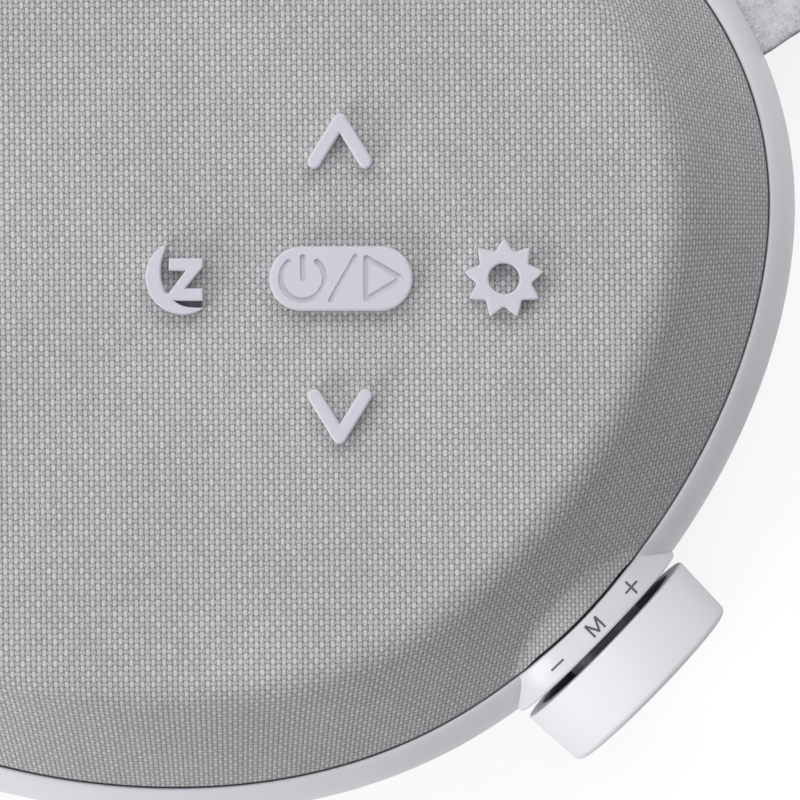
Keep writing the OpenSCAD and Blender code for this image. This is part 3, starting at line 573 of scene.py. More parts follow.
# painted shade: a dark grey put in the dial's hollow where only shade falls
cave_painted_shade = moulded("cave_painted_shade", (0.24, 0.24, 0.255), 0.5)
dial_white = moulded("dial_white", (0.81, 0.807, 0.845), 0.52, specular=0.4)
key_plastic = moulded("key_plastic", (0.588, 0.575, 0.632), 0.38, tint=0.012)
print_ink = moulded("print_ink", (0.105, 0.105, 0.12), 0.5)
dark_metal = metal("dark_metal", (0.18, 0.18, 0.19), 0.45, metallic=0.5)
fabric = woven("grey_fabric")
felt_grey = felt("grey_felt")
moulded("base_plastic", (0.72, 0.72, 0.735), 0.55, grain=0.03, scale=1500)
moulded("inner_plastic", (0.05, 0.05, 0.053), 0.6, grain=0.02)
moulded("dark_plastic", (0.035, 0.035, 0.04), 0.5)
moulded("chip_plastic", (0.03, 0.03, 0.032), 0.5, grain=0.03, scale=1800)
moulded("led_resin", (0.85, 0.78, 0.42), 0.2, grain=0.005)
metal("steel", (0.62, 0.62, 0.63))
metal("coil_copper", (0.65, 0.33, 0.18), 0.35, (200, 200, 9000))
metal("capacitor_can", (0.55, 0.56, 0.6), 0.3)
metal("battery_foil", (0.62, 0.63, 0.66), 0.38, (700, 700, 700))
rubber("cone_paper", (0.04, 0.04, 0.042), 1600, 0.8)
rubber("magnet_ferrite", (0.07, 0.07, 0.075), 700, 0.65)
rubber("pad_rubber", (0.085, 0.085, 0.09), 1200, 0.75)
# black foam of the grille's gasket, its black partly painted shade for the gap between the fabric and the rim
rubber("black_foam", (0.03, 0.03, 0.03), 1500, 0.9)
rubber("surround_rubber", (0.03, 0.03, 0.03), 900, 0.6)
rubber("spider_cloth", (0.5, 0.34, 0.13), 2500, 0.85)
board("circuit_board")
for row in frame["record"]["subparts"]:
    materials = frame["nodes"][row["node"]].data.materials
    materials.clear()
    materials.append(MADE[row["material_slot"]])


# ---- Fabric cover ----
SLOPE = math.atan(SLOPE_RISE)
CURVE_IN = SLOPE_RUN + EDGE_R * math.tan(SLOPE / 2)
SLOPE_END = CURVE_IN - EDGE_R * math.sin(SLOPE)
FLAT_IN = 16.0
# the edges of the fabric and the boss lie further in beside the dial: by the whole shift up to LENS_FULL
# from the dial's axis, and not at all from LENS_END on
FABRIC_SHIFT, BOSS_SHIFT, LENS_FULL, LENS_END = 0.26, 0.12, 6.0, 9.0
# the fillet round the hump, the radius of the turned-in edge and how much larger it is beside the dial
HUMP_FILLET, TURN_IN, TURN_IN_MORE = 1.3, 0.25, 0.05
WEAVE_TURN, HUMP_PITCH = math.radians(0.6), 0.746


def dome_z(off):
    """Height of the fabric away from the hump: sloping shoulder, round edge, flat top."""
    straight = RIM_Z + (-RIM_GAP / 2 - off) * math.tan(SLOPE)
    x = np.clip(off + CURVE_IN, 0, EDGE_R)
    arc = TOP_Z - EDGE_R + np.sqrt(EDGE_R**2 - x * x)
    return np.where(off > -SLOPE_END, straight, np.where(off > -CURVE_IN, arc, TOP_Z))


def round_z(v):
    """Height of the boss's round body beside the dial's axis."""
    return np.sqrt(np.maximum(BOSS_R**2 - v * v, 0))


def lens(a):
    """1 beside the dial, 0 elsewhere, for outline angles a."""
    u, v = to_dial(*edge(a, 0.0))
    return (u > 0) * (1 - smooth(LENS_FULL, LENS_END, np.abs(v)))


ring = angles(DIAL_DEGREES, 0.5, 0.2, 15)
N = len(ring)


def weave_at(x, y):
    """Place in the weave, in threads, of a point of the flat cloth."""
    c, s = math.cos(WEAVE_TURN), math.sin(WEAVE_TURN)
    return np.stack([(x * c + y * s) / PITCH, (y * c - x * s) / PITCH], -1)


# distances in from the fabric's edge, closer together where it bends
depths = np.concatenate([
    [0, 0.03, 0.08, 0.14, 0.2, 0.3], np.arange(0.45, 5.5, 0.22), np.arange(5.7, 8.8, 0.5),
    np.arange(8.9, 13.1, 0.25), [13.4, 14.0, 15.0, FLAT_IN],
])
rim_edge = FABRIC_OUT - FABRIC_SHIFT * lens(ring)
rows, runs, humps = [], [], []
run = np.zeros(N)
for d in [None, *depths]:
    if d is None:
        off, z, raised = rim_edge, np.full(N, FRAME_Z), np.zeros(N, bool)
    else:
        off = FABRIC_OUT - d + (rim_edge - FABRIC_OUT) * (1 - smooth(0, 8, d))
        u, v = to_dial(*edge(ring, off))
        boss_z = np.where(u > 0, DIAL_Z + round_z(v), 0)
        raised = (boss_z > dome_z(off)) & (np.abs(v) < BOSS_R - 1)
        turn_in = TURN_IN + TURN_IN_MORE * lens(ring)
        z = smax(dome_z(off), boss_z, HUMP_FILLET)
        z = z - (turn_in - np.sqrt(turn_in**2 - np.maximum(turn_in - d, 0) ** 2))
    x, y = edge(ring, off)
    here = np.stack([x, y, z], -1)
    # over the boss the cloth is stretched along the hump, and its threads lie as they show from above
    humps.append(np.where(raised[:, None], weave_at(x, y) / HUMP_PITCH, np.nan))
    if rows:
        run = run + np.linalg.norm(here - rows[-1], axis=1)
    rows.append(here)
    runs.append(run)
cover = Build()
cover.add(np.concatenate(rows), grid_faces(len(rows), N))
flat_weave = [weave_at(*edge(ring, -FLAT_IN + (runs[-1] - run))) for run in runs]


# ---- Signs, which are the keys' outlines ----
def chevron(w=5.44, h=4.42, t=1.5, up=True):
    """An arrow head, w wide and h high between the round ends of its strokes, which are t wide."""
    r = t / 2
    d = np.array([w / 2, -h])
    d /= np.linalg.norm(d)
    a = math.degrees(math.atan2(d[1], d[0]))
    top, foot = np.array([0, h / 2]), np.array([w / 2, -h / 2])
    right = arc_points(*foot, r, a - 90, a + 90, 12)
    left = right[::-1] * (-1, 1)
    crown = arc_points(*top, r, a + 90, 90 - a, 12)
    notch = [[0, h / 2 - r / d[0]]]
    loop = np.concatenate([right, crown, left, notch])
    if not up:
        loop = loop[::-1] * (1, -1)
    return loop


def star_loop(tip=4.3, root=3.06, rays=9, n=14):
    """Nine straight-sided rays with round valleys."""
    soft, points = 0.3, []
    for i in range(rays):
        for t in np.linspace(-1, 1, n, endpoint=False):
            share = (math.hypot(t, soft) - soft) / (math.hypot(1, soft) - soft)
            r = root + (tip - root) * share
            a = math.pi / 2 + 2 * math.pi * (i + 0.5 + t / 2) / rays
            points.append((r * math.cos(a), r * math.sin(a)))
    return np.array(points)


def circle(r, n=48):
    """A round loop, counter-clockwise."""
    return arc_points(0, 0, r, 0, 360, n + 1)[:-1]


def crescent():
    """The moon: a disc less a bite of three arcs, its two horns rounded, counter-clockwise."""
    disc, disc_r = np.array([0.55, 0.17]), 4.02
    inner, inner_r, inner_from = np.array([3.43, 0.754]), 5.253, 207
    under, under_r = np.array([2.2, 4.9]), 8.0
    bend, bend_r, bend_from, bend_to = np.array([1.321, -0.437]), 2.591, 260.65, 227

    def horn(centre, r, blunt, way):
        """Centre of a small circle tangent to both arcs, inside the disc and outside the bite."""
        span = centre - disc
        d = np.linalg.norm(span)
        e, r1, r2 = span / d, disc_r - blunt, r + blunt
        along = (r1**2 - r2**2 + d * d) / (2 * d)
        return disc + e * along + np.array([-e[1], e[0]]) * way * math.sqrt(r1**2 - along**2)

    def angle(c, p):
        """Direction from c to p in degrees."""
        return math.degrees(math.atan2(p[1] - c[1], p[0] - c[0])) % 360

    top_r, low_r = 0.31, 0.07
    top, low = horn(inner, inner_r, top_r, 1), horn(under, under_r, low_r, -1)
    return np.concatenate([
        arc_points(*disc, disc_r, angle(disc, top), angle(disc, low), 70)[:-1],
        arc_points(*low, low_r, angle(disc, low), angle(low, under) + 360, 8)[:-1],
        arc_points(*under, under_r, angle(under, low), bend_from, 12)[:-1],
        arc_points(*bend, bend_r, bend_from, bend_to, 12),
        arc_points(*inner, inner_r, inner_from, angle(inner, top), 50)[:-1],
        arc_points(*top, top_r, angle(top, inner), angle(disc, top) + 360, 12)[:-1],
    ])


LETTER = np.array([
    [-0.98, -2.38], [2.7, -2.38], [2.7, -1.04], [0.82, -1.04], [2.7, 1.22], [2.7, 2.17],
    [-0.98, 2.17], [-0.98, 0.83], [0.8, 0.83], [-0.98, -1.55],
])
# joins the letter's foot to the moon
BRIDGE = np.array([[-1.5, -1.53], [-1.1, -2.4], [-0.6, -2.3], [-0.95, -1.53]])
# the fabric seen between the moon and the letter
INLAY = np.array([
    [-2.0, 2.15], [-2.1, 0.6], [-1.9, -0.4], [-1.4, -1.45], [-0.98, -1.62],
    [1.1, 0.87], [-0.9, 0.87], [-0.9, 2.15],
])
# openings in the fabric that this key needs besides its own outline
INLAY_SLOT = np.array([[-1.9, 2.17], [-2.3, 1], [-2.2, -1.6], [-0.6, -2], [1.2, 0.6], [-0.5, 2.17]])
FOOT_SLOT = np.array([[-0.6, -2.2], [-0.6, -2.5], [0.4, -3.05], [2.4, -3.15], [2.4, -2.2]])
SUN_HOLE_R, SUN_PATCH_R = 1.63, 1.6
OPENING = 0.02
GLYPHS = {
    "up": [chevron()],
    "down": [chevron(up=False)],
    "play": [stadium(15.36, 6.9, 40)],
    "sleep": union([crescent(), LETTER, BRIDGE]),
    "light": [star_loop(), circle(SUN_HOLE_R, 64)[::-1]],
}


def moved(loop, key):
    """A loop round the middle of a key's sign, brought to the key's place."""
    return np.asarray(loop) + KEYS[key]


holes = []
for key, loops in GLYPHS.items():
    if key == "sleep":
        loops = union([*loops, INLAY_SLOT, FOOT_SLOT])
    outer = max(loops, key=lambda q: abs(signed_area(q)))
    holes.append(inward(moved(outer, key), -OPENING))
flat_loops = [rows[-1][:, :2]] + [h[::-1] for h in holes]
points, tris = cap(flat_loops, TOP_Z)
cover.add(points, tris)
flat_weave.append(weave_at(points[:, 0], points[:, 1]))
for h in holes:
    rings = [np.column_stack([h, np.full(len(h), z)]) for z in (TOP_Z, TOP_Z - FABRIC_T)]
    cover.add(np.concatenate(rings), grid_faces(2, len(h)))
    flat_weave.append(np.concatenate([weave_at(h[:, 0], h[:, 1])] * 2))
verts, faces = cover.all()
humps.append(np.full((len(verts) - len(rows) * N, 2), np.nan))
cloth = piece("fabric_top", verts, faces, "housing", "grey_fabric", ["fabric_cover"], fabric, sharp=50,
              weave=np.concatenate(flat_weave), patch_weave=np.concatenate(humps))


def patch(name, loop, key):
    """A bit of the fabric inside a key's sign, which moves with the key."""
    loop = moved(loop, key)
    b = Build()
    points, tris = cap([loop], TOP_Z)
    b.add(points, tris)
    b.wall(loop, [(0, TOP_Z - FABRIC_T), (0, TOP_Z)])
    verts, faces = b.all()
    piece(name, verts, faces, key + "_key", "grey_fabric", [key + "_key_patch"], fabric, sharp=50,
          weave=weave_at(verts[:, 0], verts[:, 1]))


patch("sun_patch", circle(SUN_PATCH_R), "light")
patch("moon_patch", INLAY, "sleep")


# ---- Keys ----
# a key's underside, the step where its skirt ends, and the floor of the slot below the letter
KEY_FOOT_Z, SKIRT_Z, SLOT_FLOOR_Z = 34.0, 36.46, 34.6
EDGE_FLAT, GROOVE_DEPTH, GROOVE_SLANT, GROOVE_BESIDE = 0.06, 0.3, 0.08, 0.08
# a groove's slanted wall with its round lip, as [distance, height] from the floor to the flat beside it
GROOVE_WALL = [
    (-GROOVE_SLANT, KEY_TOP - GROOVE_DEPTH), (0, KEY_TOP - 0.03), (0.012, KEY_TOP - 0.006), (0.03, KEY_TOP),
    (GROOVE_BESIDE, KEY_TOP),
]


def round_edge(r):
    """Levels of a key's round upper edge of radius r, and a bit of the flat beside it."""
    arc = [(r * (1 - math.cos(t)), KEY_TOP - r * (1 - math.sin(t))) for t in np.linspace(0, math.pi / 2, 5)]
    return [*arc, (r + EDGE_FLAT, KEY_TOP)]


def key_piece(key, grooves=(), floors=(), islands=(), r=0.3, foot=(), skirt=0.0):
    """A raised key with a round upper edge, grooves in its top and, inside the frame, a skirt set back."""
    b = Build()
    outline = [dense(moved(q, key)) for q in GLYPHS[key]]
    step = [(skirt, KEY_FOOT_Z), (skirt, SKIRT_Z - 0.05), (0, SKIRT_Z)]
    for q in outline:
        b.wall(q, step + round_edge(r), True)
    b.add(*cap([inward(q, skirt, True) for q in outline], KEY_FOOT_Z, up=False))
    for q in foot:
        b.add(*cap([moved(q, key)], SLOT_FLOOR_Z))
    top = [inward(q, r + EDGE_FLAT, True) for q in outline]
    for groove in grooves:
        q = moved(groove, key)[::-1]
        b.wall(q, GROOVE_WALL)
        top.append(inward(q, GROOVE_BESIDE))
    b.add(*cap(top, KEY_TOP))
    for island in islands:
        q = moved(island, key)
        b.wall(q, GROOVE_WALL)
        b.add(*cap([inward(q, GROOVE_BESIDE)], KEY_TOP))
    for floor in floors:
        b.add(*cap([moved(q, key) for q in floor], KEY_TOP - GROOVE_DEPTH))
    piece(key + "_key_cap", *b.all(), key + "_key", "key_plastic", ["key_" + key], key_plastic, 40)


GROOVE, SLASH = 0.64, 0.56
POWER_X, POWER_R = -4.05, 2.33
power = stroke(arc_points(POWER_X, 0, POWER_R, 130, 410, 60), GROOVE)
bar = stroke([(POWER_X, 0.02), (POWER_X, 2.27)], GROOVE)
slash = stroke([(-1.1, -2.32), (1.56, 2.37)], SLASH)


def rounded(corners, r, n=8):
    """Polygon with round corners, counter-clockwise."""
    out, c = [], np.asarray(corners, float)
    for i in range(len(c)):
        p, a, b = c[i], c[i - 1] - c[i], c[(i + 1) % len(c)] - c[i]
        a, b = a / np.linalg.norm(a), b / np.linalg.norm(b)
        half = math.acos(np.clip(a @ b, -1, 1)) / 2
        middle = (a + b) / np.linalg.norm(a + b)
        centre = p + middle * r / math.sin(half)
        s = p + a * r / math.tan(half) - centre
        t = p + b * r / math.tan(half) - centre
        a0, a1 = math.degrees(math.atan2(s[1], s[0])), math.degrees(math.atan2(t[1], t[0]))
        a1 += 360 if a1 < a0 else 0
        out.append(arc_points(*centre, r, a0, a1, n))
    return np.concatenate(out)


tri_outer = rounded([(2.38, 2.82), (2.38, -2.82), (7.16, 0.0)], 0.4)
tri_inner = rounded([(2.95, 1.78), (2.95, -1.78), (5.95, 0.0)], 0.06, 4)
key_piece("up")
key_piece("down")
key_piece("play", grooves=[power, bar, slash, tri_outer], islands=[tri_inner],
          floors=[[power], [bar], [slash], [tri_outer, tri_inner[::-1]]])
key_piece("sleep", r=0.22, foot=[FOOT_SLOT], skirt=0.2)
key_piece("light", r=0.24)


# ---- Housing ----
EDGE_BREAK, LIP, BOSS_LIP, FACE_EDGE = 0.35, 0.18, 0.3, 0.35
# outside, the wall above its widest height is a little flatter than an ellipse, whose LEAN is 1
LEAN = 1.3
SHELL_SHARP = 32


def wall_off(z):
    """Distance from the outline of the ellipse that the wall follows inside, WALL further in, at height z."""
    if z >= DIAL_Z:
        return EDGE_BREAK + (WALL_OUT - EDGE_BREAK) * math.sqrt(1 - ((z - DIAL_Z) / (RIM_Z - DIAL_Z)) ** 2)
    return -FOOT_IN + (WALL_OUT + FOOT_IN) * math.sqrt(1 - ((DIAL_Z - z) / (DIAL_Z - BASE_Z)) ** 2)


def quarter(n):
    """Cosine and sine at n steps of a quarter turn."""
    return [(math.cos(t), math.sin(t)) for t in np.linspace(0, math.pi / 2, n)]


def loft(levels):
    """Rings of the housing's outline, each given as its distance and height."""
    return [np.stack([*edge(ring, off), np.broadcast_to(z, (N,))], -1) for off, z in levels]


skin = [(RIM_IN + LIP * (1 - c), RIM_Z - LIP * (1 - s)) for c, s in quarter(5)]
skin += [(EDGE_BREAK + (WALL_OUT - EDGE_BREAK) * c**LEAN, DIAL_Z + (RIM_Z - DIAL_Z) * s**LEAN)
         for c, s in quarter(34)[-2::-1]]
skin += [(-FOOT_IN + (WALL_OUT + FOOT_IN) * c, DIAL_Z - (DIAL_Z - BASE_Z) * s) for c, s in quarter(26)[1:]]
skin += [(-PLATE_IN + PLATE_GAP, z) for z in (BASE_Z, PLATE_TOP)]
skin += [(-FLANGE_IN, z) for z in (PLATE_TOP, FLANGE_TOP)]
skin += [(wall_off(z) - WALL, z) for z in (FLANGE_TOP, 7.0, 9.3, 11.5, 14.5, 17.8)]
skin += [(-LEDGE_IN, LEDGE_FOOT_Z), (-LEDGE_IN, LEDGE_Z), (RIM_IN, LEDGE_Z)]
faces = grid_faces(len(skin), N, close_rows=True, flip=True)
shell = piece("shell", np.concatenate(loft(skin)), faces, "housing", "white_shell", ["main_housing"], white,
              SHELL_SHARP)


def tool(mesh):
    """An object for a boolean, which uses it up, so it rides on no body."""
    return piece("tool", *mesh, None, None)


def boolean(obj, other, operation="DIFFERENCE"):
    """Applies one exact boolean to obj and removes the other object."""
    mod = obj.modifiers.new("cut", "BOOLEAN")
    mod.operation, mod.solver, mod.object = operation, "EXACT", other
    bpy.context.view_layer.update()
    mesh = bpy.data.meshes.new_from_object(obj.evaluated_get(bpy.context.evaluated_depsgraph_get()))
    obj.modifiers.remove(mod)
    obj.data = mesh
    bpy.data.objects.remove(other)
    mesh.shade_smooth()
    mesh.set_sharp_from_angle(angle=math.radians(SHELL_SHARP))


def dial_place(x, y, h):
    """Points across the dial's axis at the distance h along it."""
    return from_dial(h, x, y)


def strap_place(u, v, z):
    """Points at u along the strap, from the housing's middle outward, and v across it."""
    a = STRAP_TURN
    u, v, z = np.broadcast_arrays(u, v, z)
    v = v + side_shift(a)
    return np.stack([u * math.cos(a) - v * math.sin(a), u * math.sin(a) + v * math.cos(a), z], -1)


def strap_box(back, front, half_w, half_h):
    """A box round the strap's place in the wall, for a boolean."""
    u, v = np.array([back, front, front, back]), np.array([-half_w, -half_w, half_w, half_w])
    return tool(tube_mesh([strap_place(u, v, z) for z in (STRAP_Z - half_h, STRAP_Z + half_h)]))


# The strap runs outward at this angle, round a bar in a pocket of the wall that a lug closes inside
STRAP_TURN = math.radians(33)
STRAP_W, STRAP_T, STRAP_LEN, STRAP_Z = 14.0, 1.8, 72.0, 12.5
LAY_Z, FOLD_R, BAR_R, BAR_IN, BAR_GAP = 0.3, 2.4, 1.0, 4.5, 0.15
STRAP_U = float(reach(STRAP_TURN)) + WALL_OUT
BAR_U, BEND_R = STRAP_U - BAR_IN, BAR_R + BAR_GAP + STRAP_T / 2
POCKET_H, POCKET_W = 2 * (BEND_R + STRAP_T / 2 + 0.45), STRAP_W + 0.8
POCKET_BACK, POCKET_FRONT = STRAP_U - 8.2, STRAP_U + 3.8
LUG_BACK, LUG_FRONT, LUG_WALL, LUG_ROOF = STRAP_U - 9.8, STRAP_U - 2.0, 2.5, 1.6

# The boss, cut away where the fabric and the base plate are
BOSS_BACK, BOSS_SIDES, BORE_SIDES = 45.1, 288, 96
face = [(BOSS_R - FACE_EDGE * (1 - c), BOSS_U - FACE_EDGE * (1 - s)) for c, s in quarter(6)]
boss = tool(revolve([(BOSS_R, BOSS_BACK), *face], BOSS_SIDES, dial_place))
# it ends at the rim's inner edge with a round lip; no two joined walls share a plane, a hair apart
HAIR, TOOL_TOP, TOOL_FOOT = 0.004, 45.0, -5.0
PAST_LIP, LIP_RISE = 0.6, 0.06
boss_top = DIAL_Z + round_z(to_dial(*edge(ring, RIM_IN + HAIR))[1])
boss_top = np.maximum(np.where(np.cos(ring - DIAL_TURN) > 0, boss_top, RIM_Z), RIM_Z)
lip = [(BOSS_LIP * (1 - c), boss_top - BOSS_LIP * (1 - s)) for c, s in quarter(6)]
inside = [(0, LEDGE_Z + HAIR), *lip, (PAST_LIP, boss_top + LIP_RISE), (PAST_LIP, TOOL_TOP)]
boss_in = RIM_IN + HAIR - BOSS_SHIFT * lens(ring)
plate_in = HAIR + PLATE_GAP - PLATE_IN
boolean(boss, tool(tube_mesh(loft([(boss_in + off, z) for off, z in inside]))))
boolean(boss, tool(tube_mesh(loft([(plate_in, TOOL_FOOT), (plate_in, PLATE_TOP + HAIR)]))))
boolean(shell, boss, "UNION")

boolean(shell, strap_box(LUG_BACK, LUG_FRONT, POCKET_W / 2 + LUG_WALL, POCKET_H / 2 + LUG_ROOF), "UNION")
boolean(shell, strap_box(POCKET_BACK, POCKET_FRONT, POCKET_W / 2, POCKET_H / 2))

BORES = [
    (BOSS_R - 2, 34.0, BOSS_U - 2),  # the boss's hollow
    (3.6, BOSS_U - 3, BOSS_U + 2),  # the bush's hole
    (BOSS_R - 1, BOSS_U + HAIR, BOSS_U + 2),  # the wall's bulge, cut flush with the boss's face
]
for r, low, high in BORES:
    boolean(shell, tool(revolve([(r, low), (r, high)], BORE_SIDES, dial_place)))

USB_Z, USB_W, USB_H, USB_FROM, USB_TO = 8.83, 9.34, 3.66, -70.0, -54.0
mouth_y, mouth_z = (stadium(USB_W, USB_H) + (-float(side_shift(math.pi)), USB_Z)).T
mouth = [np.column_stack([np.full(len(mouth_y), x), mouth_y, mouth_z]) for x in (USB_FROM, USB_TO)]
boolean(shell, tool(tube_mesh(mouth)))


# ---- Dial ----
def dial_profile():
    """The dial as (radius, along): hub, hollow, skirt, rounded front edge and a slightly domed front."""
    cave, cave_r, hub, hub_end, foot = 4.3, DIAL_R - 2.3, 4.85, DIAL_LEN - 1.05, 0.01
    crown, round_r, edge_r, chamfer, front_rings = 0.4, 0.8, 0.25, 0.12, 12
    flat = DIAL_FRONT_R - round_r
    points = [(0, hub_end), (hub, hub_end), (hub, cave), (cave_r, cave)]
    points += [(cave_r, chamfer), (cave_r + chamfer, foot)]
    for t in np.linspace(0, math.pi / 2, 5):
        points.append((DIAL_R - edge_r + edge_r * math.sin(t), foot + edge_r * (1 - math.cos(t))))
    for t in np.linspace(0.08, math.pi / 2, 14):
        points.append((flat + round_r * math.cos(t), DIAL_LEN - round_r + round_r * math.sin(t)))
    for i in range(1, front_rings):
        r = flat * (1 - i / front_rings)
        points.append((r, DIAL_LEN + crown * (1 - (r / flat) ** 2)))
    points.append((0, DIAL_LEN + crown))
    return [(max(r, 0.001), DIAL_BACK + h) for r, h in points]


DIAL_SIDES = 192
piece("dial_face", *revolve(dial_profile(), DIAL_SIDES, dial_place), "dial", "white_shell", ["dial_cap"],
      dial_white, 30)


def collar(name, profile, body, slot, replaces, material):
    """Ring turned round the dial's axis from a closed profile of (radius, along)."""
    sides = 144
    rings, _ = revolve(profile, sides, dial_place)
    faces = grid_faces(len(profile), sides, close_rows=True)
    piece(name, rings, faces, body, slot, replaces, material, 30)


# painted shade in the dial's hollow: a dark wall and a floor with the hub's hole, where only shade falls
SHADE_CUP_R, SHADE_CUP_IN, SHADE_CUP_HOLE = 9.78, 9.5, 5.0
SHADE_CUP_EDGE, SHADE_CUP_FLOOR, SHADE_CUP_BACK = DIAL_BACK + 0.3, DIAL_BACK + 4.0, DIAL_BACK + 4.27
collar("dial_painted_shade", [(SHADE_CUP_IN, SHADE_CUP_EDGE), (SHADE_CUP_R, SHADE_CUP_EDGE), (SHADE_CUP_R, SHADE_CUP_BACK),
                       (SHADE_CUP_HOLE, SHADE_CUP_BACK), (SHADE_CUP_HOLE, SHADE_CUP_FLOOR), (SHADE_CUP_IN, SHADE_CUP_FLOOR)],
       "dial", None, (), cave_painted_shade)
NUT_R, NUT_LOW, NUT_HIGH, NUT_BORE, NUT_EDGE = 5.15, BOSS_U + 0.4, BOSS_U + 2.4, 3.55, 0.2
collar("encoder_collar", [(NUT_BORE, NUT_LOW), (NUT_R - NUT_EDGE, NUT_LOW), (NUT_R, NUT_LOW + NUT_EDGE),
                          (NUT_R, NUT_HIGH - NUT_EDGE), (NUT_R - NUT_EDGE, NUT_HIGH), (NUT_BORE, NUT_HIGH)],
       "housing", "dark_metal", ["encoder_nut"], dark_metal)

# Generic marks for louder, mode and softer, standing on the boss just behind the dial
MARK_W, MARK_SINK = 0.25, -0.05
# how far the ink stands up, and how much more each further stroke of a mark does
INK, INK_STEP = 0.03, 0.003


def mark(name, lines, at):
    """Square-ended strokes, given as [along the axis, beside it] ends, laid on the boss's round top."""
    b = Build()
    for i, (p, q) in enumerate(lines):
        p, q = np.array(p), np.array(q)
        run = (q - p) / np.linalg.norm(q - p)
        side = np.array([-run[1], run[0]]) * MARK_W / 2
        rings = []
        for k in np.linspace(0, 1, 9):
            c = p + (q - p) * k + at
            corners = np.array([c - side, c + side, c + side, c - side])
            up = INK + INK_STEP * i
            r = BOSS_R + np.array([MARK_SINK, MARK_SINK, up, up])
            rings.append(from_dial(corners[:, 0], corners[:, 1], np.sqrt(r * r - corners[:, 1] ** 2)))
        b.add(*tube_mesh(rings))
    piece(name, *b.all(), "housing", None, (), print_ink, 30)


mark("mark_more", [[(0, -0.92), (0, 0.92)], [(-0.9, 0), (0.9, 0)]], (55.51, 6.19))
mark("mark_mode", [[(-0.83, -0.78), (0.83, -0.78)], [(-0.83, 0.78), (0.83, 0.78)],
                   [(-0.83, -0.74), (0.74, 0.04)], [(-0.83, 0.74), (0.74, -0.04)]], (55.57, 0.34))
mark("mark_less", [[(0, -0.92), (0, 0.92)]], (55.63, -5.55))


# ---- Felt strap ----
def strap_line():
    """Middle line of the loop as (u, height): round the bar, out on top, round the fold and back below."""
    far, fold_z, steps = BAR_U + STRAP_LEN, LAY_Z + STRAP_T / 2 + FOLD_R, 110
    line = []

    def bend(u, z, r, start, steps, first):
        """Half a turn clockwise."""
        for i in range(first, steps + 1 - first):
            a = math.radians(start - 180 * i / steps)
            line.append((u + r * math.cos(a), z + r * math.sin(a)))

    def layer(order, from_z, to_z, drop):
        """One layer of the strap, which eases from one height to the other as it leaves the housing."""
        for i in order:
            u = BAR_U + STRAP_LEN * i / steps
            f = smooth(0, drop, u - STRAP_U - 2)
            line.append((u, from_z * (1 - f) + to_z * f))

    bend(BAR_U, STRAP_Z, BEND_R, 270, 12, 0)
    layer(range(1, steps + 1), STRAP_Z + BEND_R, LAY_Z + STRAP_T / 2 + 2 * FOLD_R, 30)
    bend(far, fold_z, FOLD_R, 90, 14, 1)
    layer(range(steps, 0, -1), STRAP_Z - BEND_R, LAY_Z + STRAP_T / 2, 26)
    return np.array(line)


def felt_section():
    """The strap's section as (across, up), clockwise from the upper left, with round long edges."""
    half_t, half_w, r = STRAP_T / 2, STRAP_W / 2, 0.55
    section = []

    def round_side(middle, start):
        """A long edge, whose middle point is level."""
        for a in np.linspace(start, start - 180, 9)[1:-1]:
            t = math.radians(a)
            rise = math.sin(t)
            up = math.copysign(half_t - r + r * abs(rise), rise) if abs(rise) > 1e-6 else 0.0
            section.append((middle + r * math.cos(t), up))

    section += [(v, half_t) for v in np.linspace(-half_w + r, half_w - r, 47)]
    round_side(half_w - r, 90)
    section += [(v, -half_t) for v in np.linspace(half_w - r, -half_w + r, 47)]
    round_side(-half_w + r, -90)
    return np.array(section).T


def felt_mesh():
    """The felt loop: its section along its line, slightly rippled, its long edges worn."""
    line = strap_line()
    run = np.roll(line, -1, 0) - np.roll(line, 1, 0)
    run /= np.linalg.norm(run, axis=1)[:, None]
    normal = np.column_stack([-run[:, 1], run[:, 0]])
    length = np.concatenate([[0], np.cumsum(np.linalg.norm(np.diff(line, axis=0), axis=1))])
    v, t = felt_section()
    half_t, half_w, swell, wear = STRAP_T / 2, STRAP_W / 2, 0.05, 0.10
    on_face = np.abs(t) > half_t - 0.05
    at_edge = smooth(half_w - 0.9, half_w, np.abs(v))
    rings = []
    for (u, z), (nu, nz), s in zip(line, normal, length):
        ripple = swell * np.sin(0.9 * s + 1.7 * v) * np.sin(0.55 * s - 1.1 * v)
        lift = t + np.sign(t) * (ripple - swell) * on_face
        fray = wear * np.sin(2.3 * s) * np.sin(0.7 * s + 1.0) * at_edge
        rings.append(strap_place(u + nu * lift, v - np.abs(fray) * np.sign(v), z + nz * lift))
    return np.concatenate(rings), grid_faces(len(rings), len(v), close_rows=True)


strap = piece("strap", *felt_mesh(), "housing", "grey_felt", ["felt_strap"], felt_grey, 0)


# ---- Camera, light and floor ----
CAMERA_AT = (20.93, -11.59, 522.4)
camera_data = bpy.data.cameras.new("camera")
camera = bpy.data.objects.new("camera", camera_data)
bpy.context.scene.collection.objects.link(camera)
camera.location = tuple(c * MM for c in CAMERA_AT)
camera_data.lens, camera_data.sensor_width = 204.5, 36
camera_data.clip_start, camera_data.clip_end = 0.05, 10
bpy.context.scene.camera = camera

# in metres: how far the lamps stand from the object's middle, their size and the middle's height
LAMP_AWAY, LAMP_SIZE, MIDDLE_Z = 1.6, 0.9, 0.015
# the power at which a lamp lights a surface that faces it as a white sky would
SKY_POWER = 25.27


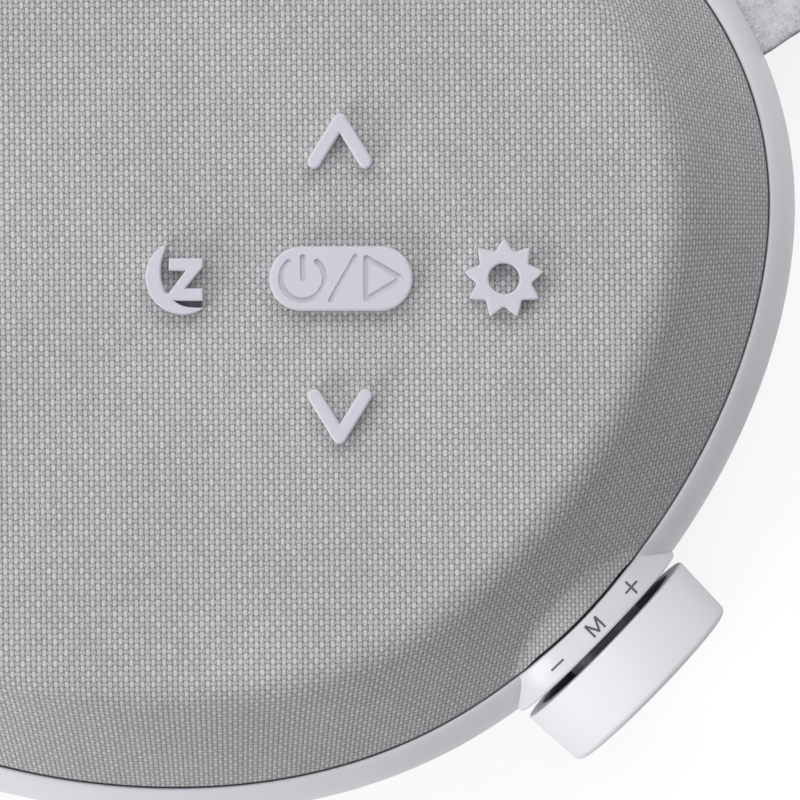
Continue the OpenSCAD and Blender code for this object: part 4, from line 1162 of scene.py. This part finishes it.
def lamp(name, azimuth, elevation, share):
    """A square area lamp looking at the object's middle, with a share of a white sky's light."""
    data = bpy.data.lights.new(name, "AREA")
    data.size, data.energy = LAMP_SIZE, SKY_POWER * share
    obj = bpy.data.objects.new(name, data)
    bpy.context.scene.collection.objects.link(obj)
    a, e = math.radians(azimuth), math.radians(elevation)
    way = Vector((math.cos(e) * math.cos(a), math.cos(e) * math.sin(a), math.sin(e)))
    obj.location = way * LAMP_AWAY + Vector((0, 0, MIDDLE_Z))
    obj.rotation_euler = way.to_track_quat("Z", "Y").to_euler()


lamp("back_lamp", 60, 38, 0.30)
lamp("back_left_lamp", 100, 38, 0.20)
lamp("left_lamp", 140, 35, 0.27)
lamp("front_left_lamp", 220, 18, 0.70)
lamp("top_lamp", 180, 88, 0.11)

world = bpy.data.worlds.new("surround")
bpy.context.scene.world = world
world.use_nodes = True
sky = world.node_tree.nodes["Background"].inputs
sky["Color"].default_value = (0.32, 0.32, 0.335, 1)
sky["Strength"].default_value = 1.0
bpy.context.scene.view_settings.view_transform = "Standard"

# the floor glows where it is seen, directly or mirrored, and lights the object only as matt grey paper does
n = Nodes("floor")
emit = n.new("Emission", {"Color": (1, 1, 1, 1), "Strength": 0.82})
matte = n.new("BsdfDiffuse", {"Color": (0.23, 0.23, 0.23, 1)})
rays = n.new("LightPath").outputs
mirrored = n.math("MAXIMUM", rays["Is Glossy Ray"], rays["Is Transmission Ray"])
seen = n.math("MAXIMUM", rays["Is Camera Ray"], mirrored)
glow = n.new("MixShader", {0: seen, 2: emit.outputs[0]})
both = n.new("AddShader", {0: matte.outputs[0], 1: glow.outputs[0]})
n.put(n.tree.nodes["Material Output"].inputs["Surface"], both.outputs[0])
FLOOR = 900
corners = [(-FLOOR, -FLOOR, 0), (FLOOR, -FLOOR, 0), (FLOOR, FLOOR, 0), (-FLOOR, FLOOR, 0)]
floor = piece("floor", corners, [(0, 1, 2, 3)], None, None, (), n.material, 0)
floor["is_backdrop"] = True

low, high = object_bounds()
